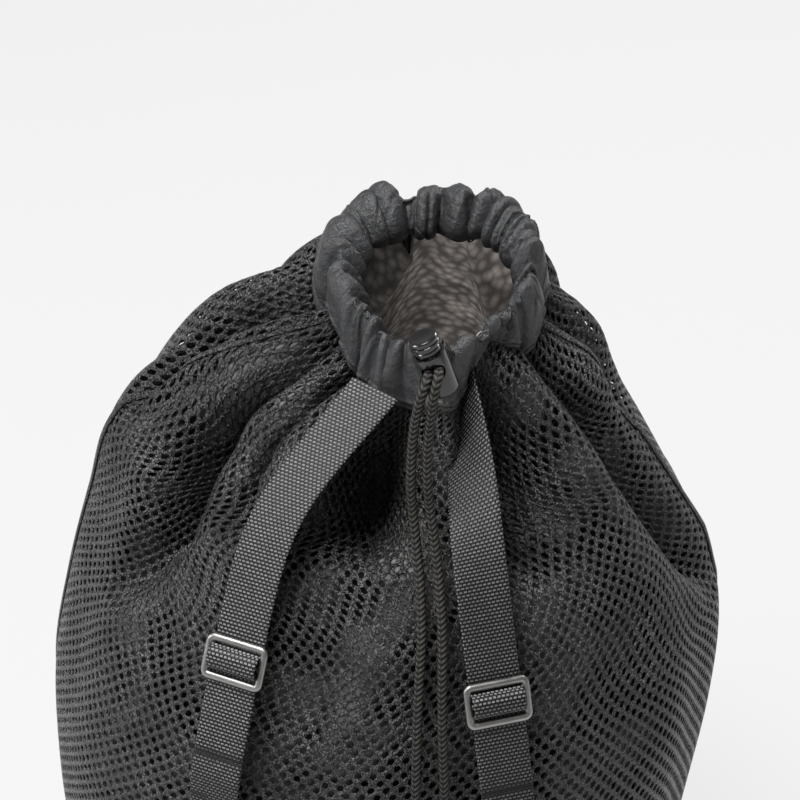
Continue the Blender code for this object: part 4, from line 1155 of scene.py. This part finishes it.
def strap_top(side):
    """First point of the visible strap, under the collar's hem, and its sideways direction."""
    degrees, outward, up, turn = STRAP_TOPS[side]
    angle = np.array([math.radians(degrees)])
    seam_out, seam_up = seam_offsets(angle)
    point = as_vector(mouth_point(angle, seam_out + outward, seam_up + up)[0])
    across = Vector((-math.sin(angle[0]), math.cos(angle[0]), math.tan(MOUTH_TILT) * math.cos(angle[0])))
    way = (strap_path(side)[4] - point).normalized()
    across = Matrix.Rotation(math.radians(turn), 3, way) @ across.normalized()
    return point, across.normalized()


def straps(web, metal):
    """Both shoulder straps with their adjusters, lower rings, turns and tabs."""
    for side in STRAPS:
        path = strap_path(side)
        widths = strap_widths(side, path)
        top, top_width = strap_top(side)
        centre, down, across, normal = glide(side)
        landing = next(i for i, point in enumerate(path)
                       if (point - centre).dot(down) >= -GLIDE_REACH - GAP)
        way = (path[landing] - top).normalized()
        bend = [top] + hermite(top, way, path[landing], down, STRAP_BEND_STEPS)
        turns = [top_width.lerp(widths[landing], min(1.0, i / STRAP_BEND_STEPS * STRAP_UNTWIST))
                 for i in range(STRAP_BEND_STEPS)]
        front = webbing("webbing_front_" + side, bend + path[landing:], turns + widths[landing:], web,
                        "bag", "strap_front_" + side, ease=STRAP_EASE)
        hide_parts("strap_tack_" + side)
        start = (centre + down * RETURN_INSET).z
        first = next(i for i, point in enumerate(path) if point.z < start)
        webbing("webbing_return_" + side, path[first:], widths[first:], web, "bag",
                "strap_return_" + side, offset=-(WEBBING_THICKNESS + GAP))
        adjuster(side, web, metal)
        lower_ring(side, path, widths, web, metal)


def ring_outline(width, height, corner, steps=8):
    points = []
    for quarter, (sx, sy) in enumerate(((1, 1), (-1, 1), (-1, -1), (1, -1))):
        for step in range(steps + 1):
            turn = math.pi / 2 * (quarter + step / steps)
            points.append((sx * (width / 2 - corner) + corner * math.cos(turn),
                           sy * (height / 2 - corner) + corner * math.sin(turn)))
    return points


def swept_loop(points, side_radius, face_radius, sides=14):
    """Points and quads of a flat closed loop, swept with an oval section."""
    line = np.array([(x, y, 0.0) for x, y in points])
    ways = unit(np.roll(line, -1, axis=0) - np.roll(line, 1, axis=0))
    out = np.stack([ways[:, 1], -ways[:, 0], np.zeros(len(line))], -1)
    turns = np.linspace(0, 2 * math.pi, sides, endpoint=False)
    up = np.tile([0, 0, 1.0], (len(line), 1))
    rings = tube_points(line, out, up, side_radius * np.cos(turns), face_radius * np.sin(turns))
    return rings.reshape(-1, 3), tube_quads(len(line), sides, True)


def bar_mesh(length, side_radius, face_radius, sides=14):
    """A bar along X whose ends run into the frame."""
    turns = np.linspace(0, 2 * math.pi, sides, endpoint=False)
    places = np.array([-0.5, -0.25, 0.25, 0.5]) * length
    rings = np.stack(np.broadcast_arrays(places[:, None], (side_radius * np.cos(turns))[None],
                                         (face_radius * np.sin(turns))[None]), -1)
    return rings.reshape(-1, 3), tube_quads(len(places), sides, False)


def placed(points, centre, across, up, normal):
    """Points of a flat piece, laid at centre with its X, Y and Z along the three ways."""
    axes = np.array([tuple(across), tuple(up), tuple(normal)])
    return points @ axes + np.array(tuple(centre))


def adjuster(side, web, metal):
    """Satin slide frame with its middle bar, and the webbing that arches over the bar."""
    centre, down, across, normal = glide(side)
    lift = WEBBING_THICKNESS / 2 + GAP + ADJUSTER_THICKNESS / 2
    outline = ring_outline(ADJUSTER_WIDTH - ADJUSTER_BAR, ADJUSTER_HEIGHT - ADJUSTER_BAR,
                           ADJUSTER_CORNER - ADJUSTER_BAR / 2)
    points, quads = swept_loop(outline, ADJUSTER_BAR / 2, ADJUSTER_THICKNESS / 2 + 0.0002)
    bar, bar_quads = bar_mesh(ADJUSTER_WIDTH - 1.5 * ADJUSTER_BAR, ADJUSTER_MIDDLE_BAR / 2,
                              ADJUSTER_THICKNESS / 2 - GAP)
    quads = np.concatenate([quads, bar_quads + len(points)])
    points = placed(np.concatenate([points, bar]), centre + normal * lift, across, -down, normal)
    piece = add_quads("adjuster_frame_" + side, points, quads, metal)
    finish_piece(piece, "adjuster_" + side, "satin_nickel", "adjuster_slide_" + side)
    rise = ADJUSTER_THICKNESS + WEBBING_THICKNESS + 2 * GAP
    path = []
    for i in range(21):
        share = i / 10 - 1
        place = centre + down * (share * ARCH_LENGTH / 2)
        path.append(place + normal * (WEBBING_THICKNESS + GAP + (1 - share ** 4) * rise))
    webbing("webbing_arch_" + side, path, [across] * len(path), web, "adjuster_" + side,
            "strap_arch_" + side)


def turned_webbing(name, bar, way, across, normal, leg, width, web, node):
    """Webbing that wraps round a bar; both its legs leave along way."""
    wrap = RING_WIRE / 2 + GAP + WEBBING_THICKNESS / 2
    path = []
    for step in range(13):
        turn = math.pi * step / 12
        path.append(bar + normal * (wrap * math.cos(turn)) - way * (wrap * math.sin(turn)))
    path = [path[0] + way * leg] + path + [path[-1] + way * leg]
    return webbing(name, path, [across] * len(path), web, "bag", node, width=width)


def lower_ring(side, path, widths, web, metal):
    """Rectangular ring at the strap's foot, with the webbing round its two long bars."""
    down = (path[-1] - path[-2]).normalized()
    across = widths[-1]
    normal = across.cross(-down).normalized()
    if normal.y > 0:
        normal = -normal
    reach = (RING_HEIGHT - RING_WIRE) / 2
    centre = path[-1] + down * (TURN_LEG + 2 * GAP + reach)
    outline = ring_outline(RING_WIDTH - RING_WIRE, RING_HEIGHT - RING_WIRE, RING_CORNER)
    points, quads = swept_loop(outline, RING_WIRE / 2, RING_WIRE / 2)
    piece = add_quads("ring_" + side, placed(points, centre, across, -down, normal), quads, metal)
    finish_piece(piece, "bag", "satin_nickel", "strap_ring_" + side)
    turned_webbing("webbing_turn_" + side, centre - down * reach, -down, across, normal, TURN_LEG,
                   WEBBING_WIDTH, web, "strap_turn_" + side)
    turned_webbing("webbing_tab_" + side, centre + down * reach, down, across, normal, TAB_LENGTH,
                   TAB_WIDTH, web, "ring_tab_" + side)


# ------------------------------------------------------------------ cords
BRAID_STEP = 0.00045
BRAID_SIDES = 20
BRAID_COLUMNS = 4            # columns of chevrons round the cord
BRAID_PITCH = 0.0026         # length of one chevron


def frames_along(line):
    """Two sideways directions along a line, without twist."""
    ways = unit(np.gradient(line, axis=0))
    side = np.empty_like(ways)
    first = np.cross(ways[0], (1.0, 0.0, 0.0))
    if np.linalg.norm(first) < 0.1:
        first = np.cross(ways[0], (0.0, 1.0, 0.0))
    side[0] = first / np.linalg.norm(first)
    for i in range(1, len(ways)):
        flat = side[i - 1] - ways[i] * np.dot(side[i - 1], ways[i])
        side[i] = flat / np.linalg.norm(flat)
    return side, np.cross(ways, side)


def braided(name, route, diameter, material):
    """A braided cord as a mesh tube, its chevrons raised; returns it and its centreline."""
    line, places, _ = dense(route, BRAID_STEP)
    side, other = frames_along(line)
    turns = np.linspace(0, 2 * math.pi, BRAID_SIDES, endpoint=False)
    around, along = np.meshgrid(turns, places, indexing="xy")
    column = around / (2 * math.pi) * BRAID_COLUMNS
    within = column - np.floor(column)
    lean = np.where(np.floor(column) % 2 == 0, 1.0, -1.0)
    stitch = along / BRAID_PITCH + lean * within
    profile = np.abs(np.sin(math.pi * stitch))
    groove = 1 - np.abs(2 * within - 1) ** 6
    radius = diameter / 2 * (0.93 + 0.07 * profile ** 0.6 * (0.6 + 0.4 * groove))
    points = tube_points(line, side, other, radius * np.cos(around), radius * np.sin(around))
    quads = tube_quads(len(line), BRAID_SIDES, False)[:, [0, 3, 2, 1]]
    piece = add_quads(name, points.reshape(-1, 3), quads, material)
    shade = np.clip(profile ** 3.6 * (0.35 + 0.65 * groove), 0, 1)
    layer = piece.data.color_attributes.new("strand", "FLOAT_COLOR", "POINT")
    rgba = np.repeat(shade.reshape(-1, 1), 4, axis=1)
    rgba[:, 3] = 1
    layer.data.foreach_set("color", rgba.astype(np.float32).ravel())
    return piece, line


def knot(side, material):
    """Overhand knot at a tail's end, with the cord's sealed tip below it."""
    end = as_vector(TAIL_ROUTES[side][-1]) - Vector((0, 0, GAP))
    route = []
    for step in range(60):
        turn = 2 * math.pi * (1.0 + 2.4 * step / 59)
        share = step / 59
        drop = -KNOT_LENGTH * (0.12 + 0.76 * (share + 0.10 * math.sin(2 * math.pi * share)))
        ring = 0.0028 * math.sin(math.pi * min(1.0, 0.12 + 0.76 * share))
        route.append(end + Vector((ring * math.cos(turn), ring * math.sin(turn), drop)))
    route = [end, end + Vector((0, 0, -0.0012))] + route
    foot = end + Vector((0, 0, -KNOT_LENGTH))
    route += [foot, foot + Vector((0, 0, -KNOT_TIP_LENGTH))]
    piece, _ = braided("knot_" + side, [tuple(point) for point in route], CORD_DIAMETER, material)
    cap_ends(piece)
    return finish_piece(piece, "bag", "braided_cord", "cord_knot_" + side)


def cap_ends(piece):
    solid = bmesh.new()
    solid.from_mesh(piece.data)
    edges = [edge for edge in solid.edges if edge.is_boundary]
    bmesh.ops.holes_fill(solid, edges=edges, sides=0)
    solid.to_mesh(piece.data)
    solid.free()


def cords(material):
    """The two tails and their knots."""
    for side in ("left", "right"):
        tail, line = braided("cord_tail_" + side, TAIL_ROUTES[side], CORD_DIAMETER, material)
        cap_ends(tail)
        end_piece = knot(side, material)
        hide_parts("drawcord_tail_" + side)
        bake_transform(tail)


# ------------------------------------------------------------------ cord lock
def lock_place():
    return as_vector(mouth_point(-math.pi / 2, LOCK_OUTWARD, LOCK_ABOVE_SEAM))


def turned_shape(profile, steps=64):
    """Points and faces of a closed turned solid; the profile runs down its outside."""
    solid = bmesh.new()
    chain = [solid.verts.new((radius, 0.0, height)) for radius, height in profile]
    edges = [solid.edges.new(pair) for pair in zip(chain, chain[1:])]
    bmesh.ops.spin(solid, geom=chain + edges, cent=(0, 0, 0), axis=(0, 0, 1), angle=2 * math.pi,
                   steps=steps, use_merge=True)
    bmesh.ops.remove_doubles(solid, verts=solid.verts, dist=1e-6)
    bmesh.ops.recalc_face_normals(solid, faces=solid.faces)
    return solid


def bar_cutter(name, width, low, high, corner):
    """A rounded bar along Y, from low to high."""
    solid = bmesh.new()
    outline = ring_outline(width, high - low, corner, 8)
    face = solid.faces.new([solid.verts.new((x, -0.02, (low + high) / 2 + y)) for x, y in outline])
    grown = bmesh.ops.extrude_face_region(solid, geom=[face])
    moved = [item for item in grown["geom"] if isinstance(item, bmesh.types.BMVert)]
    bmesh.ops.translate(solid, vec=(0, 0.04, 0), verts=moved)
    bmesh.ops.recalc_face_normals(solid, faces=solid.faces)
    data = bpy.data.meshes.new(name)
    solid.to_mesh(data)
    solid.free()
    return add_object(name, data)


def lock_solid(name, profile, cutter, material, body, node, edge):
    """A turned lock piece with the cord hole cut through it and its edges eased."""
    solid = turned_shape(profile)
    data = bpy.data.meshes.new(name)
    solid.to_mesh(data)
    solid.free()
    piece = add_data(name, data, material, False)
    cut = piece.modifiers.new("cord_hole", "BOOLEAN")
    cut.operation = "DIFFERENCE"
    cut.solver = "EXACT"
    cut.object = cutter
    ease = piece.modifiers.new("ease", "BEVEL")
    ease.width = edge
    ease.segments = 3
    ease.limit_method = "ANGLE"
    ease.angle_limit = math.radians(40)
    bpy.context.view_layer.update()
    final = bpy.data.meshes.new_from_object(piece.evaluated_get(bpy.context.evaluated_depsgraph_get()))
    piece.modifiers.clear()
    piece.data = final
    final.shade_smooth()
    final.set_sharp_from_angle(angle=math.radians(50))
    bpy.data.objects.remove(cutter, do_unlink=True)
    piece.matrix_world = Matrix.Translation(lock_place()) @ Matrix.Rotation(-LOCK_LEAN, 4, "Y")
    return finish_piece(piece, body, "lock_plastic", node)


def cord_lock(plastic):
    """Barrel and push button, with the cord hole right through both."""
    outer = LOCK_BARREL_DIAMETER / 2
    top, bottom = LOCK_HOLE_BELOW_TOP, LOCK_HOLE_BELOW_TOP - LOCK_BARREL_LENGTH
    bore = outer - LOCK_WALL
    floor = bottom + LOCK_FLOOR
    profile = [(0.0, floor), (bore, floor), (bore, top), (outer, top)]
    profile += [(outer, bottom + LOCK_ROUND_OFF)]
    for step in range(1, 7):
        turn = math.pi / 2 * step / 6
        profile.append((outer - LOCK_ROUND_OFF * (1 - math.cos(turn)),
                        bottom + LOCK_ROUND_OFF * (1 - math.sin(turn))))
    profile.append((0.0, bottom))
    hole = bar_cutter("hole", LOCK_HOLE_WIDTH, -LOCK_HOLE_HEIGHT / 2, LOCK_HOLE_HEIGHT / 2,
                      LOCK_HOLE_CORNER)
    lock_solid("lock_barrel", profile, hole, plastic, "cord_lock", "cord_lock_barrel", 0.0005)
    head, neck = PLUNGER_HEAD_DIAMETER / 2, PLUNGER_NECK_DIAMETER / 2
    foot = top + PLUNGER_TRAVEL + GAP
    crown = foot + PLUNGER_HEAD_HEIGHT
    groove = foot + PLUNGER_HEAD_HEIGHT * 0.42
    body = bore - PLUNGER_CLEARANCE
    low = -LOCK_HOLE_HEIGHT / 2 - PLUNGER_BELOW_HOLE
    profile = [(0.0, crown - 0.0005), (head * 0.55, crown - 0.0004), (head * 0.7, crown),
               (head - 0.0006, crown), (head, crown - 0.0006), (head, groove + 0.0004),
               (head - 0.0007, groove), (head, groove - 0.0004), (head, foot), (neck, foot),
               (neck, foot - PLUNGER_NECK_HEIGHT), (body, foot - PLUNGER_NECK_HEIGHT - 0.0004),
               (body, low), (0.0, low)]
    slot = 2 * CORD_DIAMETER + CORD_SIDE_GAP + 2 * PLUNGER_CLEARANCE
    slot_top = CORD_DIAMETER / 2 + PLUNGER_TRAVEL + 2 * PLUNGER_CLEARANCE + PLUNGER_SLOT_SPARE
    hole = bar_cutter("slot", slot, -LOCK_HOLE_HEIGHT / 2 + 0.0004, slot_top, 0.0012)
    lock_solid("lock_plunger", profile, hole, plastic, "lock_plunger", "cord_lock_plunger", 0.0003)


# ------------------------------------------------------------------ seams and stitching
def side_seams(fabric, material):
    """Folded tape over each side seam, following the mesh's folds."""
    for side, angle in (("left", math.pi), ("right", 0.0)):
        shares = np.array([-1, -0.6, -0.2, 0, 0.2, 0.6, 1.0])
        rise = np.array([0.0, 0.0006, 0.0009, 0.0006, 0.0009, 0.0006, 0.0])
        rows = np.linspace(0, fabric.rows, fabric.rows * 2 + 1)
        columns = np.array([fabric.column_at(angle, row) for row in rows])
        spans = np.array([np.linalg.norm(fabric.read(np.array([c + 1.0]), np.array([r]), [0.0])
                                         - fabric.read(np.array([c]), np.array([r]), [0.0]))
                          for c, r in zip(columns, rows)])
        reach = SEAM_TAPE_SHOWN / 2 / spans
        column = columns[None, :] + shares[:, None] * reach[None, :]
        row = np.broadcast_to(rows[None, :], column.shape)
        lift = np.broadcast_to(rise[:, None], column.shape)
        points = fabric.read(column, row, -(MESH_THICKNESS * 0.7 + lift))
        piece = sheet_mesh("seam_" + side, points, material, thickness=0.0009)
        finish_piece(piece, "bag", "mesh_fabric", "side_seam_" + side)


STITCHED_ROWS = (4, 10)      # rows of the collar's surface, in its hem
STITCH_LENGTH = 0.0024
STITCH_SPACING = 0.0034
STITCH_SIDES = 6
THREAD_RADIUS = 0.00028
STITCH_ARCH = 0.0002         # its ends dip under the cloth by this much, its middle stands out
STITCH_LIFT = 0.0006         # from the collar's middle to its face


def stitches(name, points, normals, material):
    """A row of short stitches along a line of points."""
    lengths = running_lengths(points)
    solid_points, solid_quads = [], []
    turns = np.linspace(0, 2 * math.pi, STITCH_SIDES, endpoint=False)
    shares = np.array([0.0, 0.25, 0.75, 1.0])
    arch = STITCH_ARCH * np.array([-1, 1, 1, -1])
    for start in np.arange(0, lengths[-1] - STITCH_LENGTH, STITCH_SPACING):
        ends = start + STITCH_LENGTH * shares
        line = read_along(ends, lengths, points)
        face = unit(read_along(ends, lengths, normals))
        way = unit(line[-1] - line[0])
        side = unit(np.cross(face, way))
        line = line + face * arch[:, None]
        rings = tube_points(line, side, face, THREAD_RADIUS * np.cos(turns), THREAD_RADIUS * np.sin(turns))
        base = len(solid_points) * STITCH_SIDES * len(shares)
        solid_quads.append(base + tube_quads(len(shares), STITCH_SIDES, False))
        solid_points.append(rings.reshape(-1, 3))
    piece = add_quads(name, np.concatenate(solid_points), np.concatenate(solid_quads), material)
    cap_ends(piece)
    piece.data.shade_smooth()
    finish_piece(piece, "bag", "thread")


def base_welt(material):
    """Piping round the base seam."""
    turns = np.linspace(0, 2 * math.pi, WELT_STEPS, endpoint=False)
    line = body_points(turns, np.full(WELT_STEPS, BODY_FOOT))
    line[:, 2] = WELT_RADIUS + GAP
    out = unit(line * np.array([1, 1, 0]))
    up = np.tile([0, 0, 1.0], (WELT_STEPS, 1))
    line = line + out * WELT_RADIUS * 0.5
    around = np.linspace(0, 2 * math.pi, WELT_SIDES, endpoint=False)
    rings = tube_points(line, out, up, WELT_RADIUS * np.cos(around), WELT_RADIUS * np.sin(around))
    quads = tube_quads(WELT_STEPS, WELT_SIDES, True)
    piece = add_quads("base_welt", rings.reshape(-1, 3), quads, material)
    finish_piece(piece, "bag", "coated_nylon")


# ------------------------------------------------------------------ stage and camera
LENS = 103.5                 # millimetres, as is the sensor
SENSOR = 36.0
CAMERA_SHIFT = (0.0021, 0.0277)
CAMERA_PLACE = (0.008, -0.9420, 1.0096)
CAMERA_LOOKS_DOWN = math.radians(35)


def studio():
    """Pale floor and soft light."""
    half = FLOOR_HALF_WIDTH
    data = bpy.data.meshes.new("floor")
    data.from_pydata([(-half, -half, 0), (half, -half, 0), (half, half, 0), (-half, half, 0)], [],
                     [(0, 1, 2, 3)])
    add_data("floor", data, floor_material(), False)
    world = bpy.data.worlds.new("studio")
    world.use_nodes = True
    background = world.node_tree.nodes["Background"]
    background.inputs["Color"].default_value = (1, 1, 1, 1)
    background.inputs["Strength"].default_value = WORLD_LIGHT
    bpy.context.scene.world = world
    soft_box("top_light", (-0.45, -0.25, 1.9), 0.7, 34)
    soft_box("side_light", (-1.6, -0.4, 1.0), 0.5, 10)
    soft_box("back_light", (0.9, 1.3, 1.4), 0.6, 12)
    bpy.context.scene.view_settings.view_transform = "Standard"


def soft_box(name, place, size, power):
    data = bpy.data.lights.new(name, "AREA")
    data.size = size
    data.energy = power
    light = add_object(name, data)
    light.location = place
    light.rotation_euler = (Vector((0, 0, 0.25)) - Vector(place)).to_track_quat("-Z", "Y").to_euler()


def camera():
    data = bpy.data.cameras.new("camera")
    data.lens = LENS
    data.sensor_width = SENSOR
    data.shift_x, data.shift_y = CAMERA_SHIFT
    eye = add_object("camera", data)
    eye.location = CAMERA_PLACE
    eye.rotation_euler = (math.pi / 2 - CAMERA_LOOKS_DOWN, 0.0, 0.0)
    bpy.context.scene.camera = eye


# ------------------------------------------------------------------ build
def build():
    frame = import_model()
    camera()
    studio()
    fabric = Fabric()
    yarn = yarn_material()
    mesh_body(fabric, yarn)
    nylon = nylon_material()
    web = webbing_material()
    plastic = plastic_material()
    metal = nickel_material()
    thread = thread_material()
    braid = cord_material()
    lining(lining_material("lining_outside", (0.004, 0.004, 0.004), (0.24, 0.232, 0.222)),
           inside_material())
    surface = collar(nylon)
    normals = surface_normals(surface, closed=False)
    for number, row in enumerate(STITCHED_ROWS):
        stitches("collar_stitches_%d" % (number + 1), surface[:, row] + normals[:, row] * STITCH_LIFT,
                 normals[:, row], thread)
    drawcord(braid)
    straps(web, metal)
    cords(braid)
    cord_lock(plastic)
    side_seams(fabric, yarn)
    base_welt(nylon)
    finishes = {"coated_nylon": nylon, "webbing": web, "lock_plastic": plastic,
                "satin_nickel": metal, "spring_steel": steel_material(),
                "thread": thread, "braided_cord": nylon, "mesh_fabric": yarn}
    for row in frame["record"]["subparts"]:
        node = frame["nodes"][row["node"]]
        node.data.materials.clear()
        node.data.materials.append(finishes[row["material_slot"]])


build()
